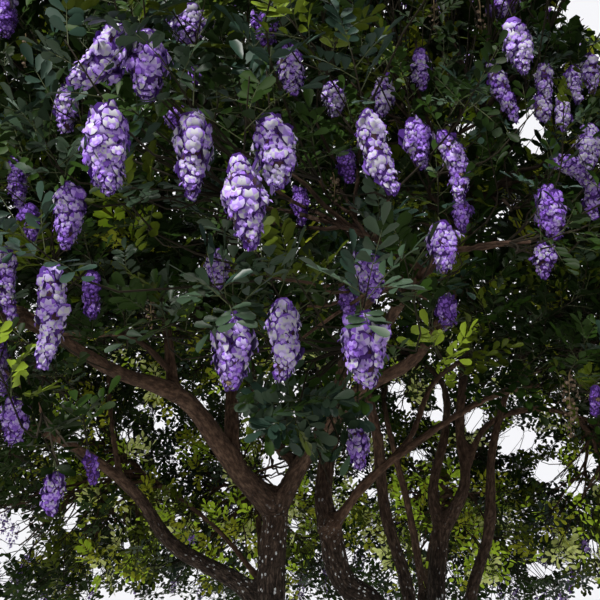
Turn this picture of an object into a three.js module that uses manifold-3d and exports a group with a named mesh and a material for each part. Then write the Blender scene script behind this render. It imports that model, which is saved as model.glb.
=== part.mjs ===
// A many-stemmed mountain laurel tree: a flared foot, stems, boughs and the
// masses of foliage that they carry. Millimetres, +Z up, ground level at z = 0.
// Azimuths of the crown are in degrees from the front (-Y), turning to the
// right (+X).
import * as THREE from 'three';
import { mergeVertices } from 'three/addons/utils/BufferGeometryUtils.js';
import Module from 'manifold-3d';

const wasm = await Module();
wasm.setup();

// ------------------------------------------------------------ driving sizes
const TREE_HEIGHT = 4150;        // ground to the highest leaves
const CROWN_SPREAD = 4150;       // tip to tip, level
const CROWN_UNDERSIDE = 1760;    // lowest hanging foliage, but for the far side
const FOOT_RADIUS = 215;         // waist of the joined foot
const FOOT_FLARE = 120;          // how far the root flare reaches past it
const FOOT_TOP = 330;            // height at which the stems part
const FLARE_LOBES = 5;           // one swelling under each stem
const STEM_SIDES = 8;            // facets round a limb
const STEP_ALONG = 190;          // spacing of sections along a limb
const JOINT_GAP = 0.4;           // clearance where one solid meets another
const MASS_GAP = 9;              // half of the slot between two foliage masses
const MASS_DETAIL = 2;           // facets of a foliage mass
const UNEVEN = 0.13;             // how bumpy a foliage mass is
const BOUGH_ENTRY = 90;          // how far a bough runs into its mass

const BARK = { color: 0x4b3a30, roughness: 0.93, metalness: 0.0 };
const UPPER_BARK = { color: 0x5d4236, roughness: 0.88, metalness: 0.0 };
const FOLIAGE = { color: 0x2c4a2f, roughness: 0.62, metalness: 0.0 };

// ------------------------------------------------------- foliage mass layout
// Three tiers. reach: level distance of the centre from the trunk's axis;
// out, along, tall: half sizes radially, round the crown and upward.
const TIERS = {
  skirt: { count: 9, first: 0, reach: 1590, level: 2250, out: 475, along: 640, tall: 455 },
  middle: { count: 7, first: 22, reach: 1170, level: 2920, out: 640, along: 680, tall: 545 },
  top: { count: 4, first: 30, reach: 560, level: 3480, out: 730, along: 730, tall: 610 },
};
const TIER_SIDES = {
  skirt: ['front', 'front_right', 'right', 'right_back', 'back_right', 'back_left', 'left_back', 'left', 'front_left'],
  middle: ['front', 'right', 'right_back', 'back', 'back_left', 'left', 'front_left'],
  top: ['front_right', 'back_right', 'back_left', 'front_left'],
};
// Departures of single masses from their tier: the left front comes nearest,
// the right shoulder sits low and the far side hangs lowest.
const TIER_SHIFTS = {
  skirt_front: { level: 2335, reach: 1600, tall: 385, turn: -7 },
  skirt_front_left: { level: 2235, reach: 1600, tall: 430, turn: -5 },
  skirt_left: { level: 2190, tall: 460 },
  skirt_front_right: { level: 2280, reach: 1560, tall: 430 },
  skirt_right: { level: 2210 },
  middle_front: { level: 2900, reach: 1180, along: 620, tall: 480, turn: -16 },
  middle_right: { level: 2760, tall: 500, reach: 1120, turn: -17 },
  middle_front_left: { level: 2960, turn: -8 },
  top_front_right: { level: 3330, reach: 500, out: 640, along: 640, turn: -12 },
  top_front_left: { level: 3500 },
  skirt_right_back: { level: 2130, tall: 540, hem: 1580 },
  skirt_back_right: { level: 2080, tall: 560, hem: 1530 },
  skirt_back_left: { level: 2080, tall: 560, hem: 1530 },
  skirt_left_back: { level: 2110, tall: 550, hem: 1560 },
};

// ---------------------------------------------------------------- the limbs
// Each limb: what it grows from, its way-points, its first and last radius,
// and the foliage mass that it feeds.
const LIMBS = {
  stem_left: { bark: BARK, radii: [66, 48], way: [[-105, -40, 220], [-262, -78, 720], [-368, -72, 1180], [-383, -45, 1560], [-368, 0, 1850]] },
  stem_middle: { bark: BARK, radii: [66, 56], way: [[0, 45, 220], [38, 92, 650], [60, 130, 1060]] },
  stem_right: { bark: BARK, radii: [62, 50], way: [[105, 65, 220], [205, 165, 600], [270, 265, 960]] },
  stem_back_left: { bark: BARK, radii: [54, 33], way: [[-60, 120, 220], [-185, 400, 700], [-330, 640, 1190], [-430, 770, 1600]] },
  stem_back_right: { bark: BARK, radii: [54, 40], way: [[60, 135, 220], [170, 470, 700], [255, 780, 1180], [300, 960, 1560]] },

  stem_inner: { bark: BARK, radii: [50, 46], way: [[60, 130, 1050], [52, 118, 1300], [-10, 100, 1515], [-125, 76, 1600], [-172, 52, 1790]] },
  stem_slim: { bark: UPPER_BARK, radii: [33, 15], into: 'top_back_left', way: [[60, 130, 1040], [125, 205, 1280], [136, 250, 1540], [58, 268, 1860], [40, 350, 2200], [-60, 440, 2680], [-150, 470, 3020]] },
  stem_right_inner: { bark: BARK, radii: [41, 37], way: [[270, 265, 950], [262, 335, 1280], [258, 350, 1570], [290, 350, 1815]] },
  stem_far_right: { bark: UPPER_BARK, radii: [32, 14], into: 'middle_right_back', way: [[270, 265, 940], [348, 298, 1250], [382, 300, 1545], [468, 300, 1780], [520, 345, 2110], [660, 440, 2460], [800, 530, 2680]] },

  bough_left_front: { bark: UPPER_BARK, radii: [40, 17], into: 'skirt_front_left', way: [[-368, 0, 1838], [-486, -120, 1948], [-654, -400, 2150], [-829, -750, 2165], [-975, -1120, 2210]] },
  bough_left_rise: { bark: UPPER_BARK, radii: [20, 12], into: 'middle_front_left', way: [[-690, -463, 2163], [-722, -460, 2370], [-765, -500, 2640], [-740, -600, 2800]] },
  bough_left_centre: { bark: UPPER_BARK, radii: [29, 15], into: 'top_front_left', way: [[-519, -166, 1988], [-532, -100, 2205], [-570, 30, 2560], [-545, 10, 3010]] },
  bough_right_front: { bark: UPPER_BARK, radii: [32, 16], into: 'middle_front', way: [[-368, 0, 1835], [-246, -150, 2033], [-84, -450, 2177], [70, -720, 2217], [170, -900, 2400], [190, -1000, 2560]] },
  bough_front: { bark: UPPER_BARK, radii: [17, 13], into: 'skirt_front', way: [[-78, -460, 2178], [-60, -800, 2230], [-5, -1260, 2250]] },
  bough_left_back: { bark: UPPER_BARK, radii: [22, 14], into: 'middle_back_left', way: [[-285, -75, 1985], [-432, 100, 2173], [-492, 290, 2480], [-610, 520, 2740]] },
  bough_left_low: { bark: UPPER_BARK, radii: [36, 14], into: 'skirt_left', way: [[-379, -55, 1430], [-462, -20, 1563], [-740, 0, 1722], [-879, -50, 1899], [-1080, -240, 2040], [-1290, -290, 2120]] },
  bough_left_upright: { bark: UPPER_BARK, radii: [14, 9], into: 'middle_left', way: [[-925, -90, 1945], [-985, -30, 2150], [-1036, 30, 2400], [-1085, 10, 2640]] },

  bough_centre: { bark: UPPER_BARK, radii: [37, 18], into: 'top_front_right', way: [[-172, 52, 1780], [-192, 85, 1900], [-145, 200, 2200], [-60, 180, 2620], [80, -60, 2980]] },
  bough_right_low: { bark: UPPER_BARK, radii: [20, 7], into: 'skirt_right', way: [[-172, 52, 1765], [-41, -50, 1931], [115, -120, 2049], [454, -200, 2232], [820, -270, 2240], [1260, -280, 2230]] },
  bough_right_fore: { bark: UPPER_BARK, radii: [10, 7], into: 'skirt_front_right', way: [[448, -199, 2230], [600, -520, 2290], [850, -1000, 2270]] },
  bough_right_inner: { bark: UPPER_BARK, radii: [17, 11], into: 'middle_right', way: [[-57, -39, 1915], [138, 50, 2110], [260, 75, 2350], [560, -60, 2500], [800, -210, 2600]] },

  bough_right_back: { bark: UPPER_BARK, radii: [26, 13], into: 'middle_back', way: [[290, 350, 1800], [268, 378, 1940], [350, 470, 2210], [400, 700, 2480], [330, 880, 2660]] },
  bough_right_top: { bark: UPPER_BARK, radii: [27, 15], into: 'top_back_right', way: [[290, 350, 1790], [390, 322, 1970], [400, 380, 2230], [470, 390, 2660], [510, 330, 2960]] },
  bough_right_side: { bark: UPPER_BARK, radii: [18, 12], into: 'skirt_right_back', way: [[398, 335, 2030], [526, 420, 2235], [780, 520, 2330], [1090, 640, 2290]] },

  bough_back_left_low: { bark: UPPER_BARK, radii: [24, 12], into: 'skirt_back_left', way: [[-430, 770, 1590], [-480, 960, 1880], [-520, 1220, 2130]] },
  bough_back_left_side: { bark: UPPER_BARK, radii: [17, 9], into: 'skirt_left_back', way: [[-430, 770, 1580], [-680, 780, 1850], [-1090, 720, 2140]] },
  bough_back_right_low: { bark: UPPER_BARK, radii: [26, 14], into: 'skirt_back_right', way: [[300, 960, 1550], [380, 1080, 1840], [480, 1260, 2110]] },
  bough_back_right_up: { bark: UPPER_BARK, radii: [24, 13], into: 'middle_back', way: [[300, 960, 1540], [240, 960, 1950], [150, 960, 2400], [140, 1010, 2620]] },
};

// ------------------------------------------------------------------ helpers
const UP = new THREE.Vector3(0, 0, 1);
const vec = (p) => new THREE.Vector3(p[0], p[1], p[2]);

// Repeatable random numbers.
function seeded(seed) {
  let s = seed >>> 0;
  return () => {
    s = (s + 0x6d2b79f5) >>> 0;
    let t = s;
    t = Math.imul(t ^ (t >>> 15), t | 1);
    t ^= t + Math.imul(t ^ (t >>> 7), t | 61);
    return ((t ^ (t >>> 14)) >>> 0) / 4294967296;
  };
}

function solidOf(geometry) {
  const merged = mergeVertices(geometry, 1e-3);
  return new wasm.Manifold(new wasm.Mesh({
    numProp: 3,
    vertProperties: Float32Array.from(merged.attributes.position.array),
    triVerts: Uint32Array.from(merged.index.array),
  }));
}

function geometryOf(solid) {
  const mesh = solid.getMesh();
  const geometry = new THREE.BufferGeometry();
  const points = new Float32Array((mesh.vertProperties.length / mesh.numProp) * 3);
  for (let i = 0; i < points.length / 3; i++) {
    for (let k = 0; k < 3; k++) points[i * 3 + k] = mesh.vertProperties[i * mesh.numProp + k];
  }
  geometry.setAttribute('position', new THREE.BufferAttribute(points, 3));
  geometry.setIndex(Array.from(mesh.triVerts));
  return geometry;
}

// Closed skin over rings of points, with a flat fan at each end.
function skinRings(rings) {
  const sides = rings[0].length;
  const points = rings.flat();
  const faces = [];
  for (let i = 0; i + 1 < rings.length; i++) {
    for (let k = 0; k < sides; k++) {
      const a = i * sides + k, b = i * sides + ((k + 1) % sides);
      faces.push(a, b, b + sides, a, b + sides, a + sides);
    }
  }
  const first = points.length;
  const middle = (ring) => ring.reduce((sum, p) => sum.add(p), new THREE.Vector3()).divideScalar(sides);
  points.push(middle(rings[0]), middle(rings[rings.length - 1]));
  const end = (rings.length - 1) * sides;
  for (let k = 0; k < sides; k++) {
    faces.push(first, (k + 1) % sides, k);
    faces.push(first + 1, end + k, end + ((k + 1) % sides));
  }
  const geometry = new THREE.BufferGeometry().setFromPoints(points);
  geometry.setIndex(faces);
  return geometry;
}

// One tapering limb. grow widens it and lengthens both ends, for a clearance.
function limbGeometry(limb, grow = 0) {
  const curve = new THREE.CatmullRomCurve3(limb.way.map(vec), false, 'centripetal');
  const length = curve.getLength();
  const steps = Math.max(2, Math.round(length / STEP_ALONG));
  const rings = [];
  let across = null;
  for (let i = 0; i <= steps; i++) {
    const t = i / steps;
    const centre = curve.getPointAt(t);
    const along = curve.getTangentAt(t).normalize();
    if (!across) across = new THREE.Vector3(1, 0, 0);
    across = across.clone().addScaledVector(along, -across.dot(along)).normalize();
    const over = along.clone().cross(across);
    if (grow && i === 0) centre.addScaledVector(along, -grow);
    if (grow && i === steps) centre.addScaledVector(along, grow);
    const radius = THREE.MathUtils.lerp(limb.radii[0], limb.radii[1], t) + grow;
    const ring = [];
    for (let k = 0; k < STEM_SIDES; k++) {
      const turn = (2 * Math.PI * k) / STEM_SIDES;
      ring.push(centre.clone()
        .addScaledVector(across, radius * Math.cos(turn))
        .addScaledVector(over, radius * Math.sin(turn)));
    }
    rings.push(ring);
  }
  return skinRings(rings);
}

// The joined foot: a waist with root swellings that run out at ground level.
function footGeometry(grow = 0) {
  const sides = FLARE_LOBES * 6;
  const heights = [0, 28, 75, 150, 245, FOOT_TOP];
  const rings = heights.map((z, i) => {
    const rise = z / FOOT_TOP;
    const flare = FOOT_FLARE * Math.pow(1 - rise, 2.6);
    const ring = [];
    for (let k = 0; k < sides; k++) {
      const turn = (2 * Math.PI * k) / sides;
      const lobe = 0.5 + 0.5 * Math.cos(FLARE_LOBES * turn + 0.9);
      const waist = FOOT_RADIUS * (1 - 0.16 * rise - 0.07 * Math.cos(2 * turn));
      const radius = waist + flare * (0.35 + 0.9 * lobe) + grow - (i === heights.length - 1 ? 34 : 0);
      const lift = i === heights.length - 1 ? grow : 0;
      ring.push(new THREE.Vector3(radius * Math.cos(turn), 0.86 * radius * Math.sin(turn) + 30 * rise, z + lift));
    }
    return ring;
  });
  return skinRings(rings);
}

// ------------------------------------------------------- foliage mass shapes
const masses = [];
for (const [tier, size] of Object.entries(TIERS)) {
  for (let k = 0; k < size.count; k++) {
    const name = `${tier}_${TIER_SIDES[tier][k]}`;
    const own = { ...size, turn: 0, ...(TIER_SHIFTS[name] || {}) };
    const azimuth = THREE.MathUtils.degToRad(size.first + (360 / size.count) * k + own.turn);
    const outward = new THREE.Vector3(Math.sin(azimuth), -Math.cos(azimuth), 0);
    masses.push({
      name, outward, round: UP.clone().cross(outward),
      centre: outward.clone().multiplyScalar(own.reach).setZ(own.level),
      half: [own.out, own.along, own.tall], hem: own.hem ?? CROWN_UNDERSIDE,
      seed: 101 + masses.length * 17,
    });
  }
}

// Length of the even oval along a direction, from its centre.
function ovalReach(mass, direction) {
  const a = direction.dot(mass.outward) / mass.half[0];
  const b = direction.dot(mass.round) / mass.half[1];
  const c = direction.z / mass.half[2];
  return 1 / Math.sqrt(a * a + b * b + c * c);
}

function massGeometry(mass) {
  const random = seeded(mass.seed);
  const swells = [];
  for (let i = 0; i < 9; i++) {
    const z = 2 * random() - 1, turn = 2 * Math.PI * random();
    const flat = Math.sqrt(1 - z * z);
    swells.push({
      way: new THREE.Vector3(flat * Math.cos(turn), flat * Math.sin(turn), z),
      rate: 2.2 + 3.4 * random(), shift: 2 * Math.PI * random(), size: UNEVEN * (0.35 + 0.65 * random()),
    });
  }
  const walls = [];
  for (const other of masses) {
    if (other === mass) continue;
    const way = other.centre.clone().sub(mass.centre);
    const apart = way.length();
    way.divideScalar(apart);
    const mine = ovalReach(mass, way), theirs = ovalReach(other, way.clone().negate());
    if (apart > 1.25 * (mine + theirs)) continue;
    walls.push({ way, at: (apart * mine) / (mine + theirs) - MASS_GAP });
  }
  const ball = mergeVertices(new THREE.IcosahedronGeometry(1, MASS_DETAIL).deleteAttribute('normal').deleteAttribute('uv'), 1e-4);
  const spots = ball.attributes.position;
  const direction = new THREE.Vector3();
  for (let i = 0; i < spots.count; i++) {
    direction.fromBufferAttribute(spots, i).normalize();
    let bump = 0;
    for (const s of swells) bump += s.size * Math.sin(s.rate * direction.dot(s.way) * 2 + s.shift);
    let reach = ovalReach(mass, direction) * (1 + 0.5 * bump);
    for (const wall of walls) {
      const facing = direction.dot(wall.way);
      if (facing > 1e-4) reach = Math.min(reach, wall.at / facing);
    }
    // Nothing above the crown's top, past its spread or under its hem.
    const spread = CROWN_SPREAD / 2, level = Math.hypot(mass.centre.x, mass.centre.y);
    if (direction.z > 1e-4) reach = Math.min(reach, (TREE_HEIGHT - mass.centre.z) / direction.z);
    if (direction.z < -1e-4) reach = Math.min(reach, (mass.hem - mass.centre.z) / direction.z);
    const out = direction.dot(mass.outward);
    if (out > 1e-4) reach = Math.min(reach, (spread - level) / out);
    spots.setXYZ(i, mass.centre.x + direction.x * reach, mass.centre.y + direction.y * reach, mass.centre.z + direction.z * reach);
  }
  return ball;
}

// ----------------------------------------------------------------- assembly
const tree = new THREE.Group();
tree.name = 'mountain_laurel';

function place(name, geometry, finish) {
  geometry.computeVertexNormals();
  const mesh = new THREE.Mesh(geometry, new THREE.MeshStandardMaterial(finish));
  mesh.name = name;
  tree.add(mesh);
}

place('trunk_foot', footGeometry(), BARK);

// Limbs are fitted in order: each one is cut to the limbs before it.
const fitted = [solidOf(footGeometry(JOINT_GAP))];
for (const [name, limb] of Object.entries(LIMBS)) {
  let solid = solidOf(limbGeometry(limb));
  for (const earlier of fitted) solid = solid.subtract(earlier);
  place(name, geometryOf(solid), limb.bark);
  fitted.push(solidOf(limbGeometry(limb, JOINT_GAP)));
}

// Masses are hollowed round the bough ends that they hold.
for (const mass of masses) {
  let solid = solidOf(massGeometry(mass));
  for (const limb of fitted) solid = solid.subtract(limb);
  place(`foliage_${mass.name}`, geometryOf(solid), FOLIAGE);
}

export default tree;
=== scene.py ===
import math

import bpy
import numpy as np
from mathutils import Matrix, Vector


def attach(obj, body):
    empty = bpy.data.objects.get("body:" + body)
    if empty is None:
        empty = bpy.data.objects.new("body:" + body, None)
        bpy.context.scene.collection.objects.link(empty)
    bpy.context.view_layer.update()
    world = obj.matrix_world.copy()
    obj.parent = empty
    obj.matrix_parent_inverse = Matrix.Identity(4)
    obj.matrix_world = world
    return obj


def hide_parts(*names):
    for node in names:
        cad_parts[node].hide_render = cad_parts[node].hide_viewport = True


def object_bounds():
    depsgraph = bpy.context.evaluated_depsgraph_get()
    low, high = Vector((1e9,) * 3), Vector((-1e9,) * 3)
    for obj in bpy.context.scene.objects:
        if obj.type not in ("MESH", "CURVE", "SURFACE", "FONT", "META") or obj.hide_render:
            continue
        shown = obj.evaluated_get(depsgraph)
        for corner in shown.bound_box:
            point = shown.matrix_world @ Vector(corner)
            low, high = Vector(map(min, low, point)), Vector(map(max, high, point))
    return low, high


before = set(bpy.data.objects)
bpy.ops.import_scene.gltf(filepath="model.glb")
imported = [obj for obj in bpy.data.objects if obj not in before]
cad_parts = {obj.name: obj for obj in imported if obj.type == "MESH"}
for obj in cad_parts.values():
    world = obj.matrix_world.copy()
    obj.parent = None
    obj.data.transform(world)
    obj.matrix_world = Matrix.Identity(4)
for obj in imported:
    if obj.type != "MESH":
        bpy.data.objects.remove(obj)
CAD_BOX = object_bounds()

SEED = 20417
rng = np.random.default_rng(SEED)

# ---------------------------------------------------------------------------
# Layout, in metres: the same limbs and foliage masses as the solid model.
# ---------------------------------------------------------------------------
TIERS = {
    "skirt": dict(count=9, first=0, reach=1.590, level=2.250, out=0.475, along=0.640, tall=0.455),
    "middle": dict(count=7, first=22, reach=1.170, level=2.920, out=0.640, along=0.680, tall=0.545),
    "top": dict(count=4, first=30, reach=0.560, level=3.480, out=0.730, along=0.730, tall=0.610),
}
TIER_SIDES = {
    "skirt": ["front", "front_right", "right", "right_back", "back_right", "back_left", "left_back", "left", "front_left"],
    "middle": ["front", "right", "right_back", "back", "back_left", "left", "front_left"],
    "top": ["front_right", "back_right", "back_left", "front_left"],
}
TIER_SHIFTS = {
    "skirt_front": dict(level=2.335, reach=1.600, tall=0.385, turn=-7),
    "skirt_front_left": dict(level=2.235, reach=1.600, tall=0.430, turn=-5),
    "skirt_left": dict(level=2.190, tall=0.460),
    "skirt_front_right": dict(level=2.280, reach=1.560, tall=0.430),
    "skirt_right": dict(level=2.210),
    "middle_front": dict(level=2.900, reach=1.180, along=0.620, tall=0.480, turn=-16),
    "middle_right": dict(level=2.760, tall=0.500, reach=1.120, turn=-17),
    "middle_front_left": dict(level=2.960, turn=-8),
    "top_front_right": dict(level=3.330, reach=0.500, out=0.640, along=0.640, turn=-12),
    "top_front_left": dict(level=3.500),
    "skirt_right_back": dict(level=2.130, tall=0.540),
    "skirt_back_right": dict(level=2.080, tall=0.560),
    "skirt_back_left": dict(level=2.080, tall=0.560),
    "skirt_left_back": dict(level=2.110, tall=0.550),
}
# name: (first radius, last radius, foliage mass that it feeds, way-points)
LIMBS = {
    "stem_left": (.066, .048, None, [(-.105, -.040, .22), (-.262, -.078, .72), (-.368, -.072, 1.18), (-.383, -.045, 1.56), (-.368, 0, 1.85)]),
    "stem_middle": (.066, .056, None, [(0, .045, .22), (.038, .092, .65), (.060, .130, 1.06)]),
    "stem_right": (.062, .050, None, [(.105, .065, .22), (.205, .165, .60), (.270, .265, .96)]),
    "stem_back_left": (.054, .033, None, [(-.060, .120, .22), (-.185, .400, .70), (-.330, .640, 1.19), (-.430, .770, 1.60)]),
    "stem_back_right": (.054, .040, None, [(.060, .135, .22), (.170, .470, .70), (.255, .780, 1.18), (.300, .960, 1.56)]),
    "stem_inner": (.050, .046, None, [(.060, .130, 1.05), (.052, .118, 1.30), (-.010, .100, 1.515), (-.125, .076, 1.60), (-.172, .052, 1.79)]),
    "stem_slim": (.033, .015, "top_back_left", [(.060, .130, 1.04), (.125, .205, 1.28), (.136, .250, 1.54), (.058, .268, 1.86), (.040, .350, 2.20), (-.060, .440, 2.68), (-.150, .470, 3.02)]),
    "stem_right_inner": (.041, .037, None, [(.270, .265, .95), (.262, .335, 1.28), (.258, .350, 1.57), (.290, .350, 1.815)]),
    "stem_far_right": (.032, .014, "middle_right_back", [(.270, .265, .94), (.348, .298, 1.25), (.382, .300, 1.545), (.468, .300, 1.78), (.520, .345, 2.11), (.660, .440, 2.46), (.800, .530, 2.68)]),
    "bough_left_front": (.040, .017, "skirt_front_left", [(-.368, 0, 1.838), (-.486, -.120, 1.948), (-.654, -.400, 2.150), (-.829, -.750, 2.165), (-.975, -1.120, 2.210)]),
    "bough_left_rise": (.020, .012, "middle_front_left", [(-.690, -.463, 2.163), (-.722, -.460, 2.370), (-.765, -.500, 2.640), (-.740, -.600, 2.800)]),
    "bough_left_centre": (.029, .015, "top_front_left", [(-.519, -.166, 1.988), (-.532, -.100, 2.205), (-.570, .030, 2.560), (-.545, .010, 3.010)]),
    "bough_right_front": (.032, .016, "middle_front", [(-.368, 0, 1.835), (-.246, -.150, 2.033), (-.084, -.450, 2.177), (.070, -.720, 2.217), (.170, -.900, 2.400), (.190, -1.000, 2.560)]),
    "bough_front": (.017, .013, "skirt_front", [(-.078, -.460, 2.178), (-.060, -.800, 2.230), (-.005, -1.260, 2.250)]),
    "bough_left_back": (.022, .014, "middle_back_left", [(-.285, -.075, 1.985), (-.432, .100, 2.173), (-.492, .290, 2.480), (-.610, .520, 2.740)]),
    "bough_left_low": (.036, .014, "skirt_left", [(-.379, -.055, 1.430), (-.462, -.020, 1.563), (-.740, 0, 1.722), (-.879, -.050, 1.899), (-1.080, -.240, 2.040), (-1.290, -.290, 2.120)]),
    "bough_left_upright": (.014, .009, "middle_left", [(-.925, -.090, 1.945), (-.985, -.030, 2.150), (-1.036, .030, 2.400), (-1.085, .010, 2.640)]),
    "bough_centre": (.037, .018, "top_front_right", [(-.172, .052, 1.780), (-.192, .085, 1.900), (-.145, .200, 2.200), (-.060, .180, 2.620), (.080, -.060, 2.980)]),
    "bough_right_low": (.020, .007, "skirt_right", [(-.172, .052, 1.765), (-.041, -.050, 1.931), (.115, -.120, 2.049), (.454, -.200, 2.232), (.820, -.270, 2.240), (1.260, -.280, 2.230)]),
    "bough_right_fore": (.010, .007, "skirt_front_right", [(.448, -.199, 2.230), (.600, -.520, 2.290), (.850, -1.000, 2.270)]),
    "bough_right_inner": (.017, .011, "middle_right", [(-.057, -.039, 1.915), (.138, .050, 2.110), (.260, .075, 2.350), (.560, -.060, 2.500), (.800, -.210, 2.600)]),
    "bough_right_back": (.026, .013, "middle_back", [(.290, .350, 1.800), (.268, .378, 1.940), (.350, .470, 2.210), (.400, .700, 2.480), (.330, .880, 2.660)]),
    "bough_right_top": (.027, .015, "top_back_right", [(.290, .350, 1.790), (.390, .322, 1.970), (.400, .380, 2.230), (.470, .390, 2.660), (.510, .330, 2.960)]),
    "bough_right_side": (.018, .012, "skirt_right_back", [(.398, .335, 2.030), (.526, .420, 2.235), (.780, .520, 2.330), (1.090, .640, 2.290)]),
    "bough_back_left_low": (.024, .012, "skirt_back_left", [(-.430, .770, 1.590), (-.480, .960, 1.880), (-.520, 1.220, 2.130)]),
    "bough_back_left_side": (.017, .009, "skirt_left_back", [(-.430, .770, 1.580), (-.680, .780, 1.850), (-1.090, .720, 2.140)]),
    "bough_back_right_low": (.026, .014, "skirt_back_right", [(.300, .960, 1.550), (.380, 1.080, 1.840), (.480, 1.260, 2.110)]),
    "bough_back_right_up": (.024, .013, "middle_back", [(.300, .960, 1.540), (.240, .960, 1.950), (.150, .960, 2.400), (.140, 1.010, 2.620)]),
}
THICK = ["stem_left", "stem_middle", "stem_right", "stem_back_left", "stem_back_right", "stem_inner", "stem_slim",
         "stem_right_inner", "stem_far_right", "bough_left_front", "bough_left_centre", "bough_right_front",
         "bough_left_low", "bough_centre", "bough_right_low", "bough_right_back", "bough_right_top",
         "bough_back_left_low", "bough_back_left_side", "bough_back_right_low", "bough_back_right_up",
         "bough_left_back", "bough_left_rise", "bough_right_inner", "bough_right_side", "bough_left_upright"]

# Camera at the photograph's viewing angle: eye level, tilted up.
CAM_AT = np.array([-0.28, -3.0, 1.55])
CAM_TILT = math.atan(295 / 800)
FOCAL = 800.0          # pixels of the 600 pixel frame
CT, ST = math.cos(CAM_TILT), math.sin(CAM_TILT)


def at_pixel(u, v, depth):
    """The point on the ray through a pixel of the frame, at that depth along the view."""
    x, y = (u - 300) / FOCAL, (300 - v) / FOCAL
    return CAM_AT + depth * np.array([x, CT - y * ST, ST + y * CT])


def to_pixel(p):
    d = p - CAM_AT
    deep = d[..., 1] * CT + d[..., 2] * ST
    up = -d[..., 1] * ST + d[..., 2] * CT
    safe = np.where(deep > 0.05, deep, 0.05)
    u = np.where(deep > 0.05, 300 + FOCAL * d[..., 0] / safe, -9999)
    v = np.where(deep > 0.05, 300 - FOCAL * up / safe, -9999)
    return u, v, deep


def unit(a):
    a = np.asarray(a, float)
    n = np.linalg.norm(a, axis=-1, keepdims=True)
    return a / np.where(n < 1e-9, 1, n)


def across(a, b):
    """Unit vectors square to a, as near b as they can be."""
    return unit(b - a * np.sum(a * b, axis=-1, keepdims=True))


def jitter(n, size):
    return rng.normal(0, size, (n, 3))


# ---------------------------------------------------------------------------
# Mesh helpers
# ---------------------------------------------------------------------------
def new_mesh(name, verts, faces, mats, index=None, smooth=True, attributes=None):
    """verts (n,3); faces (m,k) with one k; mats list of materials; index per face."""
    me = bpy.data.meshes.new(name)
    verts = np.asarray(verts, np.float32)
    faces = np.asarray(faces, np.int32)
    m, k = faces.shape
    me.vertices.add(len(verts))
    me.vertices.foreach_set("co", verts.ravel())
    me.loops.add(m * k)
    me.loops.foreach_set("vertex_index", faces.ravel())
    me.polygons.add(m)
    me.polygons.foreach_set("loop_start", np.arange(0, m * k, k, dtype=np.int32))
    me.polygons.foreach_set("loop_total", np.full(m, k, np.int32))
    for mat in mats:
        me.materials.append(mat)
    if index is not None:
        me.polygons.foreach_set("material_index", np.asarray(index, np.int32))
    me.polygons.foreach_set("use_smooth", np.full(m, bool(smooth)))
    if attributes:
        for key, data in attributes.items():
            at = me.attributes.new(key, "FLOAT_VECTOR", "POINT")
            at.data.foreach_set("vector", np.asarray(data, np.float32).ravel())
    me.update(calc_edges=True)
    ob = bpy.data.objects.new(name, me)
    bpy.context.scene.collection.objects.link(ob)
    return ob


def spline(points, step):
    """Centripetal Catmull-Rom through the points, resampled evenly."""
    p = np.asarray(points, float)
    p = np.vstack([2 * p[0] - p[1], p, 2 * p[-1] - p[-2]])
    out = []
    for i in range(1, len(p) - 2):
        p0, p1, p2, p3 = p[i - 1], p[i], p[i + 1], p[i + 2]
        t0 = 0.0
        t1 = t0 + max(1e-6, np.linalg.norm(p1 - p0)) ** .5
        t2 = t1 + max(1e-6, np.linalg.norm(p2 - p1)) ** .5
        t3 = t2 + max(1e-6, np.linalg.norm(p3 - p2)) ** .5
        t = np.linspace(t1, t2, 24, endpoint=(i == len(p) - 3))[:, None]
        a1 = (t1 - t) / (t1 - t0) * p0 + (t - t0) / (t1 - t0) * p1
        a2 = (t2 - t) / (t2 - t1) * p1 + (t - t1) / (t2 - t1) * p2
        a3 = (t3 - t) / (t3 - t2) * p2 + (t - t2) / (t3 - t2) * p3
        b1 = (t2 - t) / (t2 - t0) * a1 + (t - t0) / (t2 - t0) * a2
        b2 = (t3 - t) / (t3 - t1) * a2 + (t - t1) / (t3 - t1) * a3
        out.append((t2 - t) / (t2 - t1) * b1 + (t - t1) / (t2 - t1) * b2)
    q = np.vstack(out)
    s = np.concatenate([[0], np.cumsum(np.linalg.norm(np.diff(q, axis=0), axis=1))])
    n = max(3, int(round(s[-1] / step)) + 1)
    want = np.linspace(0, s[-1], n)
    return np.stack([np.interp(want, s, q[:, k]) for k in range(3)], axis=1), want


def frames(path, ref=None):
    """Tangents and two steady cross directions along a path."""
    tan = np.gradient(path, axis=0)
    tan = unit(tan)
    side = np.zeros_like(tan)
    if ref is None:
        ref = np.array([1.0, 0.02, 0.01])
    if abs(tan[0] @ ref) > .9:
        ref = np.array([0.0, 1.0, 0.1])
    side[0] = across(tan[0], ref)
    for i in range(1, len(path)):
        side[i] = across(tan[i], side[i - 1])
    return tan, side, np.cross(tan, side)


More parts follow.
